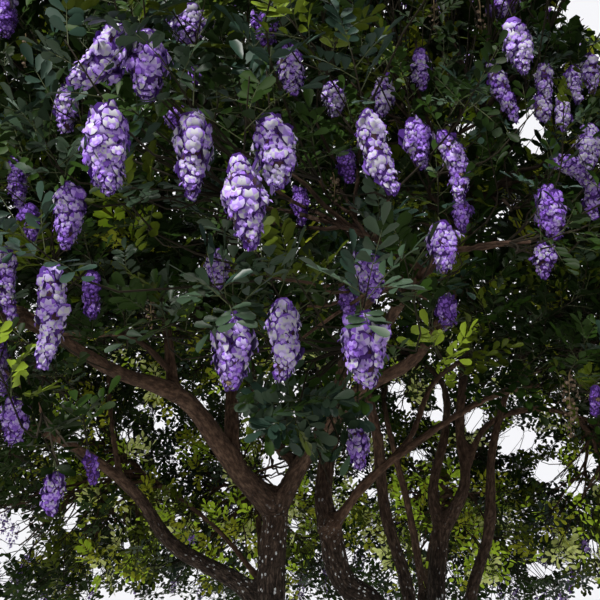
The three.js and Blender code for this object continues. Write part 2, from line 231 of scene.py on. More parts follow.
def tube(path, radii, sides, end="cap"):
    """A closed tube. Returns vertices and triangles."""
    tan, a, b = frames(path)
    ang = np.arange(sides) * 2 * math.pi / sides
    ring = np.cos(ang)[None, :, None] * a[:, None, :] + np.sin(ang)[None, :, None] * b[:, None, :]
    v = path[:, None, :] + ring * np.asarray(radii)[:, None, None]
    n = len(path)
    i = np.arange(n - 1)[:, None] * sides
    k = np.arange(sides)[None, :]
    k2 = (k + 1) % sides
    q = np.stack([i + k, i + k2, i + sides + k2, i + sides + k], axis=-1).reshape(-1, 4)
    tri = np.vstack([q[:, [0, 1, 2]], q[:, [0, 2, 3]]])
    v = v.reshape(-1, 3)
    c0, c1 = len(v), len(v) + 1
    v = np.vstack([v, path[0], path[-1] + tan[-1] * radii[-1] * .6])
    kk = np.arange(sides)
    kk2 = (kk + 1) % sides
    cap0 = np.stack([np.full(sides, c0), kk2, kk], axis=1)
    base = (n - 1) * sides
    cap1 = np.stack([np.full(sides, c1), base + kk, base + kk2], axis=1)
    return v, np.vstack([tri, cap0, cap1])


class Gather:
    """Collects many small meshes into one."""

    def __init__(self):
        self.v, self.f, self.m, self.a, self.n = [], [], [], [], 0

    def add(self, v, f, mat=0, attr=None):
        self.v.append(v)
        self.f.append(f + self.n)
        self.m.append(np.full(len(f), mat) if np.isscalar(mat) else mat)
        if attr is not None:
            self.a.append(attr)
        self.n += len(v)

    def arrays(self):
        return np.vstack(self.v), np.vstack(self.f), np.concatenate(self.m)

    def tris(self):
        return sum(len(f) for f in self.f)


# Smooth value noise on numpy arrays, repeatable.
_grid = np.random.default_rng(77).random((32, 32, 32))


def noise3(p):
    p = np.asarray(p, float)
    i = np.floor(p).astype(int)
    f = p - i
    f = f * f * (3 - 2 * f)
    out = 0
    for dx in (0, 1):
        for dy in (0, 1):
            for dz in (0, 1):
                w = (f[:, 0] if dx else 1 - f[:, 0]) * (f[:, 1] if dy else 1 - f[:, 1]) * (f[:, 2] if dz else 1 - f[:, 2])
                out = out + w * _grid[(i[:, 0] + dx) % 32, (i[:, 1] + dy) % 32, (i[:, 2] + dz) % 32]
    return out * 2 - 1


# ---------------------------------------------------------------------------
# Materials
# ---------------------------------------------------------------------------
def plain(name, color, rough, spec=0.5, coat=0.0, sheen=0.0):
    m = bpy.data.materials.new(name)
    m.use_nodes = True
    b = m.node_tree.nodes["Principled BSDF"]
    b.inputs["Base Color"].default_value = (*color, 1)
    b.inputs["Roughness"].default_value = rough
    b.inputs["Specular IOR Level"].default_value = spec
    b.inputs["Coat Weight"].default_value = coat
    b.inputs["Coat Roughness"].default_value = 0.25
    if sheen:
        b.inputs["Sheen Weight"].default_value = sheen
        b.inputs["Sheen Roughness"].default_value = 0.5
    return m


def bark(name):
    """Bark on coordinates that run along the limb: grey, plated and flecked with lichen on old
    wood, smoother and redder on young wood, with painted shade darkening wood high in the crown."""
    m = bpy.data.materials.new(name)
    m.use_nodes = True
    nt = m.node_tree
    n, l = nt.nodes, nt.links
    b = n["Principled BSDF"]
    b.inputs["Roughness"].default_value = 0.9
    b.inputs["Specular IOR Level"].default_value = 0.25
    at = n.new("ShaderNodeAttribute")
    at.attribute_name = "bark_co"
    mix_at = n.new("ShaderNodeAttribute")
    mix_at.attribute_name = "bark_age_and_shade"
    age_lichen_shade = n.new("ShaderNodeSeparateXYZ")
    l.new(mix_at.outputs["Vector"], age_lichen_shade.inputs["Vector"])

    def noise(scale, detail, rough=.55):
        t = n.new("ShaderNodeTexNoise")
        t.inputs["Scale"].default_value = scale
        t.inputs["Detail"].default_value = detail
        t.inputs["Roughness"].default_value = rough
        l.new(at.outputs["Vector"], t.inputs["Vector"])
        return t

    def ramp(source, stops):
        r = n.new("ShaderNodeValToRGB")
        r.color_ramp.elements[0].position, r.color_ramp.elements[0].color = stops[0][0], (*stops[0][1], 1)
        r.color_ramp.elements[1].position, r.color_ramp.elements[1].color = stops[-1][0], (*stops[-1][1], 1)
        for at_, c in stops[1:-1]:
            r.color_ramp.elements.new(at_).color = (*c, 1)
        l.new(source, r.inputs["Fac"])
        return r.outputs["Color"]

    def mixed(kind, fac, a_, b_):
        x = n.new("ShaderNodeMix")
        x.data_type = "RGBA"
        x.blend_type = kind
        for k, val in (("Factor", fac), ("A", a_), ("B", b_)):
            if hasattr(val, "links") or hasattr(val, "is_linked"):
                l.new(val, x.inputs[k])
            else:
                x.inputs[k].default_value = val
        return x.outputs["Result"]

    def ranged(source, lo, hi, to_lo=0.0, to_hi=1.0):
        r = n.new("ShaderNodeMapRange")
        r.inputs["From Min"].default_value, r.inputs["From Max"].default_value = lo, hi
        r.inputs["To Min"].default_value, r.inputs["To Max"].default_value = to_lo, to_hi
        l.new(source, r.inputs["Value"])
        return r.outputs["Result"]

    broad = noise(14, 5, .6)
    streak = noise(95, 5, .62)
    fine = noise(260, 3)
    warp = n.new("ShaderNodeMix")
    warp.data_type = "VECTOR"
    warp.inputs["Factor"].default_value = 0.022
    l.new(at.outputs["Vector"], warp.inputs[4])
    l.new(broad.outputs["Color"], warp.inputs[5])
    cell = n.new("ShaderNodeTexVoronoi")
    cell.feature = "DISTANCE_TO_EDGE"
    cell.inputs["Scale"].default_value = 105
    l.new(warp.outputs[1], cell.inputs["Vector"])
    crack = ranged(cell.outputs["Distance"], 0.0, 0.16)
    old = ramp(streak.outputs["Fac"], [(.34, (.011, .008, .007)), (.50, (.040, .030, .025)), (.68, (.125, .100, .084))])
    young = ramp(streak.outputs["Fac"], [(.32, (.028, .015, .010)), (.50, (.082, .048, .033)), (.70, (.180, .112, .078))])
    tone = mixed("MIX", age_lichen_shade.outputs["X"], old, young)
    tone = mixed("MULTIPLY", .65, tone, ramp(broad.outputs["Fac"], [(.35, (.55, .52, .50)), (.65, (1.25, 1.22, 1.2))]))
    crack_dark = mixed("MULTIPLY", .8, tone, ramp(crack, [(0, (.34, .33, .33)), (1, (1.05, 1.05, 1.05))]))
    tone = mixed("MIX", age_lichen_shade.outputs["X"], crack_dark, tone)
    spot = n.new("ShaderNodeTexVoronoi")
    spot.inputs["Scale"].default_value = 86
    spot.inputs["Randomness"].default_value = 1.0
    short = n.new("ShaderNodeVectorMath")
    short.operation = "MULTIPLY"
    short.inputs[1].default_value = (1, 1, 1.9)
    l.new(at.outputs["Vector"], short.inputs[0])
    uneven = n.new("ShaderNodeMix")
    uneven.data_type = "VECTOR"
    uneven.inputs["Factor"].default_value = 0.010
    l.new(short.outputs["Vector"], uneven.inputs[4])
    l.new(fine.outputs["Color"], uneven.inputs[5])
    l.new(uneven.outputs[1], spot.inputs["Vector"])
    own_size = n.new("ShaderNodeSeparateXYZ")
    l.new(spot.outputs["Color"], own_size.inputs["Vector"])
    within = n.new("ShaderNodeMath")
    within.operation = "SUBTRACT"
    l.new(ranged(own_size.outputs["X"], .25, 1.0, .03, .39), within.inputs[0])
    l.new(spot.outputs["Distance"], within.inputs[1])
    fleck = ranged(within.outputs["Value"], 0, .07)
    many = ranged(noise(15, 3).outputs["Fac"], .36, .47)
    both = n.new("ShaderNodeMath")
    both.operation = "MULTIPLY"
    l.new(fleck, both.inputs[0])
    l.new(many, both.inputs[1])
    most = n.new("ShaderNodeMath")
    most.operation = "MULTIPLY"
    l.new(both.outputs["Value"], most.inputs[0])
    l.new(age_lichen_shade.outputs["Y"], most.inputs[1])
    tone = mixed("MIX", most.outputs["Value"], tone, (.86, .90, .96, 1))
    # painted shade: the attribute's third channel darkens the wood higher in the crown
    tone = mixed("MULTIPLY", age_lichen_shade.outputs["Z"], tone, (.26, .27, .25, 1))
    l.new(tone, b.inputs["Base Color"])
    plates = n.new("ShaderNodeMath")
    plates.operation = "MULTIPLY"
    l.new(crack, plates.inputs[0])
    l.new(ranged(age_lichen_shade.outputs["X"], 0, 1, 1, .15), plates.inputs[1])
    add1 = n.new("ShaderNodeMath")
    add1.operation = "MULTIPLY_ADD"
    add1.inputs[1].default_value = 1.1
    l.new(streak.outputs["Fac"], add1.inputs[0])
    l.new(plates.outputs["Value"], add1.inputs[2])
    add2 = n.new("ShaderNodeMath")
    add2.operation = "MULTIPLY_ADD"
    add2.inputs[1].default_value = 0.3
    l.new(fine.outputs["Fac"], add2.inputs[0])
    l.new(add1.outputs["Value"], add2.inputs[2])
    bump = n.new("ShaderNodeBump")
    bump.inputs["Strength"].default_value = 1.0
    bump.inputs["Distance"].default_value = 0.0045
    l.new(add2.outputs["Value"], bump.inputs["Height"])
    l.new(bump.outputs["Normal"], b.inputs["Normal"])
    return m


BARK = bark("bark_wood")
TWIG = [plain("twig_brown", (0.019, 0.015, 0.009), 0.8, 0.2),
        plain("twig_green", (0.046, 0.058, 0.020), 0.7, 0.35),
        plain("twig_straw", (0.160, 0.120, 0.060), 0.8, 0.3)]
LEAF_COLORS = [
    ("leaf_deep", (0.007, 0.018, 0.002), 0.50),
    ("leaf_dark", (0.012, 0.029, 0.003), 0.48),
    ("leaf_mid", (0.023, 0.051, 0.008), 0.46),
    # blue and grey: partly the leaves' own blue-green, partly painted sheen of the sky, dealt mostly to sprays in light
    ("leaf_blue", (0.020, 0.045, 0.031), 0.42),
    ("leaf_grey", (0.033, 0.061, 0.034), 0.46),
    ("leaf_olive", (0.060, 0.086, 0.005), 0.48),
    # painted light: gold, lime and glow stand for sunlight shining through leaves from behind
    ("leaf_backlit_gold", (0.370, 0.420, 0.030), 0.52),
    ("leaf_backlit_lime", (0.540, 0.790, 0.055), 0.52),
    ("leaf_backlit_glow", (0.860, 0.960, 0.360), 0.52),
    # the young leaves' own lime green, also dealt as painted light to scattered lit leaves
    ("leaf_young_and_lit", (0.155, 0.220, 0.019), 0.46),
]
LEAF = [plain(n, c, r, 0.32 if n in ("leaf_blue", "leaf_grey") else 0.12) for n, c, r in LEAF_COLORS]
PETAL_COLORS = [
    ("petal_white", (0.525, 0.520, 0.605), 0.6),
    ("petal_lilac", (0.475, 0.400, 0.710), 0.6),
    ("petal_light", (0.395, 0.262, 0.735), 0.6),
    ("petal_violet", (0.222, 0.098, 0.560), 0.6),
    ("petal_deep", (0.060, 0.016, 0.185), 0.6),
    ("calyx", (0.050, 0.020, 0.030), 0.75),
    ("spent", (0.210, 0.155, 0.105), 0.85),
    ("spent_dark", (0.095, 0.064, 0.044), 0.85),
]
PETAL = [plain(n, c, r, 0.25, 0.0, 0.10) for n, c, r in PETAL_COLORS]


# ---------------------------------------------------------------------------
# Foliage masses
# ---------------------------------------------------------------------------
masses = []
for tier, size in TIERS.items():
    for k in range(size["count"]):
        name = f"{tier}_{TIER_SIDES[tier][k]}"
        own = dict(size, turn=0)
        own.update(TIER_SHIFTS.get(name, {}))
        az = math.radians(size["first"] + 360 / size["count"] * k + own["turn"])
        outward = np.array([math.sin(az), -math.cos(az), 0.0])
        around = np.array([-outward[1], outward[0], 0.0])
        masses.append(dict(name=name, tier=tier, centre=np.array([*(outward[:2] * own["reach"]), own["level"]]),
                           axes=np.stack([outward, around, np.array([0, 0, 1.0])]),
                           half=np.array([own["out"], own["along"], own["tall"]])))
MASS_AT = {m["name"]: i for i, m in enumerate(masses)}
CENTRES = np.array([m["centre"] for m in masses])
CROWN_HEART = np.array([0, 0, 2.30])


def oval(mass, p):
    """Position in the mass's own oval: 1 is on its skin."""
    return ((p - mass["centre"]) @ mass["axes"].T) / mass["half"]


def crown_out(p):
    d = (p - CROWN_HEART) * np.array([1, 1, 1.15])
    return unit(d)


# Where the photograph shows sky or bare limbs, near foliage stays out.
EDGE_U = [-200, 0, 60, 100, 130, 170, 205, 238, 250, 285, 310, 346, 366, 382, 398, 430, 445, 460, 500, 520, 545, 570, 600, 800]
EDGE_V = [520, 490, 470, 405, 345, 330, 352, 384, 426, 440, 452, 450, 428, 385, 352, 332, 372, 400, 407, 418, 434, 446, 455, 470]


# Gaps in the foliage behind the limbs (u, v, half width, half height).
GAPS = [
    (78, 432, 4, 8), (98, 434, 5, 9), (127, 435, 8, 7), (160, 426, 6, 4), (201, 407, 6, 10), (247, 418, 5, 12), (251, 437, 8, 4),
    (273, 476, 13, 21), (295, 525, 4, 8), (15, 536, 15, 27), (71, 516, 8, 18), (3, 566, 4, 14), (107, 480, 7, 4), (122, 499, 5, 4), (99, 571, 7, 5),
    (199, 571, 7, 5), (252, 566, 6, 8), (203, 518, 5, 7), (178, 518, 4, 6), (226, 487, 5, 8), (233, 512, 6, 8), (126, 545, 6, 4),
    (474, 419, 12, 14), (514, 441, 22, 13), (441, 396, 9, 14), (420, 455, 9, 7), (549, 472, 20, 12), (587, 463, 12, 12),
    (577, 489, 12, 7), (424, 545, 8, 7), (346, 556, 7, 11), (373, 493, 6, 7), (346, 386, 5, 6), (541, 570, 17, 8),
    (398, 388, 8, 7), (404, 404, 9, 8), (436, 415, 10, 7), (140, 407, 5, 3), (96, 416, 4, 4), (36, 494, 4, 4), (590, 545, 8, 6),
]


# dark hollows between the clusters, where the foremost sprays are few: u, v, half widths
HOLLOWS = [(350, 38, 62, 44), (440, 172, 44, 50), (165, 268, 60, 50), (24, 82, 34, 56), (520, 300, 70, 44), (60, 330, 30, 30), (320, 232, 30, 26)]


def in_hollow(u, v):
    out = np.zeros(len(u), bool)
    for gu, gv, hw, hh in HOLLOWS:
        out |= ((u - gu) / hw) ** 2 + ((v - gv) / hh) ** 2 < 1
    return out


def in_gap(p, slack=1.0):
    u, v, deep = to_pixel(p)
    out = np.zeros(len(p), bool)
    for gu, gv, hw, hh in GAPS:
        out |= ((u - gu) / (hw * slack)) ** 2 + ((v - gv) / (hh * slack)) ** 2 < 1
    return out & (deep > 2.0)


# lobes of the opening beside the upper right clusters, and small chinks: u, v, half widths
LOBES = [(519, 124, 5.5, 4.5), (526, 124, 6.5, 5), (534, 127, 5, 4), (523, 135, 3.5, 5.5), (531, 134, 5, 7), (541, 135, 3, 3),
         (531, 147, 6, 6), (537, 151, 5, 6), (534, 114, 2.6, 4.5), (539, 121, 3, 4), (467, 128, 6, 5), (463, 134, 3, 3),
         (572, 10, 5, 6), (580, 22, 4, 4), (559, 25, 2.6, 3.4), (597, 57, 3.5, 5), (598, 72, 2.6, 4), (551, 9, 2.4, 2.2), (589, 39, 3, 2.6)]


def in_lobes(p, size=1.0):
    u, v, deep = to_pixel(p)
    out = np.zeros(len(p), bool)
    for gu, gv, hw, hh in LOBES:
        out |= ((u - gu) / hw) ** 2 + ((v - gv) / hh) ** 2 < size * size
    return out & (deep > .3)


def open_to_view(p, slack=0.0, rag=1.0):
    """True where foliage would cover what the photograph leaves open."""
    u, v, deep = to_pixel(p)
    inside = (u > -60) & (u < 660) & (deep > 0.3)
    edge = np.interp(u, EDGE_U, EDGE_V) + slack
    hem = inside & (v > edge) & (v < 640) & (deep < 2.75)
    corner = (u > 566) & (u < 612) & (v < 42 - (600 - np.minimum(u, 600)) * 0.8) & (v > -14)
    return hem | (inside & (corner | in_lobes(p, rag)))


# ---------------------------------------------------------------------------
# Flower clusters placed as the photograph shows them.
# (u of top, v of top, u of foot, v of foot, width in pixels, tone, bend)
# tone: 0 pale, 1 lilac, 2 violet, 3 deep, 4 spent; 0 to 3 are partly the clusters' own lilacs, partly painted light and
# shade. bend: sideways bow.
# ---------------------------------------------------------------------------
SEEN = [
    (118, 30, 70, 80, 40, 0, .35), (146, 36, 147, 97, 46, 1, 0), (182, 6, 190, 42, 40, 0, .1), (66, 90, 66, 132, 27, 1, 0),
    (106, 112, 108, 194, 49, 1, 0), (193, 118, 192, 196, 38, 0, 0), (175, 108, 177, 130, 24, 2, 0), (268, 122, 277, 188, 44, 0, .15),
    (240, 166, 252, 246, 48, 1, 0), (70, 188, 66, 248, 33, 1, 0), (16, 162, 19, 207, 22, 2, 0), (30, 208, 30, 238, 22, 3, 0),
    (217, 254, 218, 287, 26, 1, 0), (289, 48, 293, 95, 29, 1, 0), (264, 16, 266, 44, 30, 3, 0), (4, 0, 8, 36, 26, 2, 0),
    (195, 68, 195, 85, 16, 3, 0), (51, 274, 49, 366, 35, 0, 0), (92, 276, 92, 320, 22, 3, 0), (6, 252, 8, 320, 25, 1, 0),
    (232, 321, 233, 389, 44, 1, 0), (283, 306, 285, 378, 37, 0, 0), (0, 338, 2, 394, 18, 2, 0), (15, 401, 14, 445, 29, 2, 0),
    (54, 478, 53, 512, 25, 1, 0), (90, 456, 92, 484, 14, 3, 0), (335, 85, 335, 115, 30, 0, 0), (384, 79, 384, 115, 24, 0, 0),
    (421, 56, 422, 88, 24, 1, 0), (368, 118, 394, 192, 34, 0, -.1), (414, 124, 422, 166, 32, 1, 0), (442, 136, 458, 200, 26, 1, .25),
    (461, 202, 463, 230, 22, 3, 0), (346, 152, 347, 180, 21, 3, 0), (512, 26, 526, 73, 30, 0, 0), (492, 66, 514, 120, 22, 1, 0),
    (543, 68, 546, 100, 20, 0, 0), (541, 98, 544, 122, 22, 0, 0), (562, 100, 564, 130, 18, 0, 0), (573, 68, 576, 103, 18, 0, 0),
    (590, 58, 592, 92, 20, 0, 0), (588, 128, 589, 168, 26, 0, 0), (553, 162, 590, 190, 22, 1, .4), (592, 184, 594, 218, 20, 1, 0),
    (547, 192, 556, 237, 32, 2, 0), (544, 246, 545, 277, 26, 1, 0), (441, 228, 446, 272, 32, 1, 0), (366, 254, 373, 298, 33, 1, 0),
    (348, 286, 350, 319, 22, 3, 0), (362, 319, 368, 383, 50, 1, 0), (358, 428, 359, 468, 26, 1, 0), (446, 298, 447, 328, 24, 2, 0),
    (500, 0, 506, 14, 40, 2, 0), (595, 390, 596, 415, 12, 3, 0), (300, 190, 303, 224, 20, 3, 0),
    (569, 377, 571, 438, 20, 4, 0), (26, 40, 25, 70, 12, 4, 0), (434, 4, 434, 30, 14, 4, 0), (480, 6, 482, 34, 14, 4, 0),
    (151, 300, 151, 328, 12, 4, 0), (334, 176, 336, 204, 16, 4, 0), (192, 536, 193, 545, 9, 2, 0), (585, 540, 586, 552, 9, 3, 0),
]


def seen_depth(h, w, tone):
    """Depth from the picture size: clusters are 95 to 120 mm long and 50 to 60 mm wide."""
    d = FOCAL * 0.056 / max(w, 8)
    d2 = FOCAL * 0.108 / max(h, 10)
    return float(np.clip(0.62 * d + 0.38 * d2, 1.07, 1.95))


def veil(p, pad=1.0, ahead=0.03):
    """How surely a point stands before one of the seen clusters (0 when it doesn't)."""
    u, v, deep = to_pixel(p)
    out = np.zeros(len(p))
    for r in racemes:
        if not r["seen"]:
            continue
        cu, cv, hu, hv, tilt, dd = r["oval"]
        du, dv = u - cu, v - cv
        x = du * math.cos(tilt) + dv * math.sin(tilt)
        y = -du * math.sin(tilt) + dv * math.cos(tilt)
        hit = ((x / (hu * pad)) ** 2 + (y / (hv * pad)) ** 2 < 1) & (deep < dd + ahead) & (deep > .2)
        out[hit] = np.maximum(out[hit], r["clear"])
    return out


racemes = []      # dict(top, foot, width, tone, bow, near)
for (ut, vt, uf, vf, w, tone, bow) in SEEN:
    h = math.hypot(uf - ut, vf - vt)
    d = seen_depth(h, w, tone)
    if tone == 3:
        d = min(d, 1.75) + 0.10
    if v_low := (vt > 395 and 30 < ut < 130):
        d = 1.32
    if (ut, vt) == (358, 428):
        d = 1.50
    if vt > 530:
        d = 3.6
    top = at_pixel(ut, vt, d)
    foot = at_pixel(uf, vf, d)
    tilt = math.atan2(uf - ut, vf - vt)
    racemes.append(dict(top=top, foot=foot, width=w * d / FOCAL, tone=tone, bow=bow, near=d < 2.5, seen=True,
                        oval=(ut * .42 + uf * .58, vt * .42 + vf * .58, w / 2 + 1, h * .44 + 4, -tilt, d),
                        clear={3: .55, 4: .8}.get(tone, .96)))

# ---------------------------------------------------------------------------
# Shoots: where the leaf sprays stand
# ---------------------------------------------------------------------------
SPACING = 0.098
BOX_LO, BOX_HI = np.array(CAD_BOX[0]), np.array(CAD_BOX[1])
shoot_p, shoot_mass, shoot_kind = [], [], []


def mass_of(p):
    r = [np.linalg.norm(oval(m, p)) for m in masses]
    return int(np.argmin(r))


accepted = np.zeros((0, 3))
for r in racemes:
    back = unit(CAM_AT - r["top"]) * -0.05
    p = r["top"] + back * .5 + np.array([0, 0, .012]) + rng.normal(0, .006, 3)
    r["shoot"] = len(shoot_p)
    shoot_p.append(p)
    shoot_mass.append(mass_of(p))
    shoot_kind.append(1)
YOUNG = []
for (lu, lv, ld) in [(318, 60, 1.26), (16, 412, 1.28), (450, 372, 1.62)]:
    YOUNG.append(len(shoot_p))
    q = at_pixel(lu, lv, ld)
    shoot_p.append(q)
    shoot_mass.append(mass_of(q))
    shoot_kind.append(0)
# sprays that hang before the main fork
HUNG = []
for lu, lv, ld in [(256, 376, 1.60), (264, 398, 1.50), (278, 386, 1.46), (290, 407, 1.44), (304, 392, 1.40), (307, 427, 1.43), (323, 406, 1.42),
                   (337, 421, 1.46), (345, 400, 1.50), (320, 386, 1.44)]:
    HUNG.append(len(shoot_p))
    q = at_pixel(lu, lv - 6, ld)
    shoot_p.append(q)
    shoot_mass.append(mass_of(q))
    shoot_kind.append(0)
# dark sprays that hang before the lower boughs at the right, and behind the middle clusters
SHADE = []
scatter = np.random.default_rng(91)
for _ in range(620):
    lu, lv, ld = scatter.uniform(196, 655), scatter.uniform(286, 440), scatter.uniform(2.02, 2.62)
    if 352 < lu < 438 or (lu < 438 and lv > 374):
        continue
    q = at_pixel(lu, lv, ld)
    if lv > np.interp(lu, EDGE_U, EDGE_V) - 17 or np.min(np.sum((np.array(shoot_p) - q) ** 2, axis=1)) < .088 ** 2:
        continue
    SHADE.append(len(shoot_p))
    shoot_p.append(q)
    shoot_mass.append(mass_of(q))
    shoot_kind.append(0)
print("shade sprays", len(SHADE))
# sprays of the crown's far hem at the lower left
HEM = []
for _ in range(260):
    lu, lv, ld = scatter.uniform(-25, 160), scatter.uniform(512, 600), scatter.uniform(3.35, 4.15)
    q = at_pixel(lu, lv, ld)
    if len(HEM) >= 40 or q[2] < 1.55 or open_to_view(q[None], 8)[0] or in_gap(q[None], 1.1)[0]:
        continue
    if np.min(np.sum((np.array(shoot_p) - q) ** 2, axis=1)) < .105 ** 2:
        continue
    HEM.append(len(shoot_p))
    shoot_p.append(q)
    shoot_mass.append(mass_of(q))
    shoot_kind.append(0)
print("hem sprays", len(HEM))
accepted = np.array(shoot_p)

for mi, m in enumerate(masses):
    want = 5200
    e = rng.normal(0, 1, (want, 3))
    e = unit(e) * (rng.random((want, 1)) ** (1 / 2.2))
    rho = np.linalg.norm(e, axis=1)
    far_side = m["centre"][1] > .5 and m["tier"] == "skirt"
    if far_side:
        e = np.where(e[:, 2:3] < -.25, e * np.array([1.42, 1.42, 1.08]), e)
        e = np.where(e[:, 2:3] < -.70, e * np.array([1.30, 1.30, 1.0]), e)
    p = (e * m["half"]) @ m["axes"] + m["centre"]
    o = crown_out(p)
    eo = np.sum(unit(p - m["centre"]) * o, axis=1) * rho
    weight = np.clip(0.16 + 0.95 * eo, 0.05, 1.0)
    weight = np.maximum(weight, .60 if far_side else (.34 if m["tier"] != "skirt" else .12))
    if m["tier"] == "skirt" and m["centre"][1] > -.9:
        shoulder = np.clip((p[:, 2] - m["centre"][2]) / m["half"][2], 0, 1)
        weight = np.maximum(weight, .85 * shoulder * (np.hypot(p[:, 0], p[:, 1]) > 1.25))
    weight[rho < (.25 if far_side else .38)] = 0
    # other masses nearer their own heart keep the point
    others = np.array([np.linalg.norm(oval(q, p), axis=1) for q in masses])
    weight[others.argmin(axis=0) != mi] *= 0.25
    weight[np.any((p[:, :2] < BOX_LO[:2] + .045) | (p[:, :2] > BOX_HI[:2] - .045), axis=1)] = 0
    weight[rho > np.where(p[:, 2] < m["centre"][2] - .2, 1.0, .94)] = 0
    weight[open_to_view(p, 8)] = 0
    weight[veil(p, 1.15, .10) > .5] = 0
    weight[in_gap(p, .7)] = 0
    # the outer sprays stand in clumps with dark hollows between them
    u, v, deep = to_pixel(p)
    clump = np.clip(.50 + 1.6 * noise3(p * 5.2 + 3), .06, 1)
    framed = (deep < 2.2) & (u > -80) & (u < 680) & (v > -120) & (v < 640)
    weight *= np.where(framed, clump, .72 + .28 * clump)
    weight *= np.where(in_hollow(u, v) & (deep < 1.85), np.where(deep < 1.5, .05, .16), 1)
    weight *= np.where((u > 405) & (u < 640) & (v > -40) & (v < 275) & (deep < 1.46), .12, 1)
    backing = (u > -30) & (u < 630) & (v > 60) & (v < 440) & (deep > 2.6)
    weight = np.where(backing, np.minimum(weight * 1.8, 1), weight)
    keep = rng.random(want) < weight
    in_sight = (u[keep] > -30) & (u[keep] < 630) & (v[keep] > -20) & (v[keep] < 620) & (deep[keep] > 2.2) & (p[keep, 1] < 1.9)
    for at, (q, w) in enumerate(zip(p[keep], weight[keep])):
        flank = abs(m["centre"][0]) > .9 and m["centre"][1] > -.7
        gap = (.090 if far_side else .097 if flank else SPACING if m["centre"][1] < -.3 else .110) * (1.0 if w > .5 else 1.2)
        if len(in_sight) and in_sight[at]:
            gap = min(gap, .094)
        if len(accepted) and np.min(np.sum((accepted - q) ** 2, axis=1)) < gap * gap:
            continue
        accepted = np.vstack([accepted, q])
        shoot_p.append(q)
        shoot_mass.append(mi)
        shoot_kind.append(0)

shoot_p = np.array(shoot_p)
shoot_mass = np.array(shoot_mass)
shoot_kind = np.array(shoot_kind)
# What stands hidden behind nearer sprays, deep in a mass, is thinned out.
view_u, view_v, view_d = to_pixel(shoot_p)
light = np.ones((350, 350))          # how much still shows through, on cells of two pixels
seen_through = np.zeros(len(shoot_p))
for i in np.argsort(view_d):
    if view_d[i] < .4:
        continue
    cu, cv, cr = (view_u[i] + 50) / 2, (view_v[i] + 50) / 2, FOCAL * .095 / view_d[i] / 2
    u0, u1 = int(max(0, cu - cr)), int(min(350, cu + cr + 1))
    v0, v1 = int(max(0, cv - cr)), int(min(350, cv + cr + 1))
    if u0 >= u1 or v0 >= v1:
        continue
    yy, xx = np.mgrid[v0:v1, u0:u1]
    disc = (xx - cu) ** 2 + (yy - cv) ** 2 < cr * cr
    if not disc.any():
        continue
    cell = light[v0:v1, u0:u1]
    seen_through[i] = cell[disc].mean()
    cell[disc] *= .72
shows = seen_through > .045
skin = np.array([np.linalg.norm(oval(masses[m], p)) for m, p in zip(shoot_mass, shoot_p)]) * np.sum(
    unit(shoot_p - CENTRES[shoot_mass]) * crown_out(shoot_p), axis=1)
rho_s = np.array([np.linalg.norm(oval(masses[m], p)) for m, p in zip(shoot_mass, shoot_p)])
skin = np.where((rho_s > .64) & (shoot_p[:, 2] > 2.05) & (np.hypot(shoot_p[:, 0], shoot_p[:, 1]) > 1.15), np.maximum(skin, .5), skin)
keep = shows | (shoot_kind == 1) | (rng.random(len(shoot_p)) < np.where(skin > .42, .83, .25))
keep[:len(racemes) + len(YOUNG) + len(HUNG) + len(SHADE) + len(HEM)] = True
shoot_p, shoot_mass, shoot_kind, shows = shoot_p[keep], shoot_mass[keep], shoot_kind[keep], shows[keep]
print("shoots", len(shoot_p), "of", len(keep), "showing", int(shows.sum()))

# More flower clusters all over the crown, carried by shoots on its outer skin.
u_all, v_all, deep_all = to_pixel(shoot_p)
in_view = (u_all > -30) & (u_all < 640) & (v_all > -40) & (v_all < 640)
out_dir = crown_out(shoot_p)
rim = np.array([np.linalg.norm(oval(masses[m], p)) for m, p in zip(shoot_mass, shoot_p)])
outer = np.sum(unit(shoot_p - CENTRES[shoot_mass]) * out_dir, axis=1) * rim
free = np.where((shoot_kind == 0) & ~(in_view & (deep_all < 2.4)) & (outer > 0.50))[0]
rng.shuffle(free)
taken = shoot_p[shoot_kind == 1]
for i in free:
    if len(racemes) > 500:
        break
    if len(taken) and np.min(np.sum((taken - shoot_p[i]) ** 2, axis=1)) < 0.135 ** 2:
        continue
    length = rng.uniform(.085, .130)
    lean = out_dir[i] * np.array([1, 1, 0]) * rng.uniform(.01, .035)
    top = shoot_p[i] + out_dir[i] * np.array([1, 1, .3]) * rng.uniform(.05, .075) + np.array([0, 0, -.005])
    if in_view[i] and open_to_view(np.array([top, top + [0, 0, -.05], top + [0, 0, -.11]]), -6, 1.6).any():
        continue
    top[:2] = np.clip(top[:2], BOX_LO[:2] - .035, BOX_HI[:2] + .035)
    foot = top + lean + np.array([0, 0, -length]) + rng.normal(0, .008, 3)
    foot[:2] = np.clip(foot[:2], BOX_LO[:2] - .05, BOX_HI[:2] + .05)
    taken = np.vstack([taken, shoot_p[i]])
    shoot_kind[i] = 1
    tone = int(rng.choice([0, 1, 2, 3, 4], p=[.26, .44, .20, .06, .04]))
    racemes.append(dict(top=top, foot=foot, width=rng.uniform(.050, .064), tone=tone, bow=rng.uniform(-.2, .25), near=False, seen=False, shoot=i))
print("clusters", len(racemes))

# ---------------------------------------------------------------------------
# Limbs
# ---------------------------------------------------------------------------
limb_paths = {}
for name, (r0, r1, into, way) in LIMBS.items():
    path, s = spline(way, 0.012)
    limb_paths[name] = (path, np.interp(s, [0, s[-1]], [r0, r1]), s)


def limb_radii(name, r, s, path):
    """Taper with a collar where the limb leaves its parent, and slow swellings."""
    out = r.copy()
    if not name.startswith("stem_") or name in ("stem_slim", "stem_far_right", "stem_right_inner", "stem_inner"):
        out = out * (1 + 0.32 * np.exp(-s / (0.15 if name in ("bough_left_front", "bough_right_front", "bough_left_low") else 0.05)))
    wob = noise3(np.stack([s * 7, np.full_like(s, hash_name(name)), s * 0], axis=1))
    return out * (1 + 0.05 * wob)


def hash_name(name):
    return float(sum(ord(c) * (i + 3) for i, c in enumerate(name)) % 97)


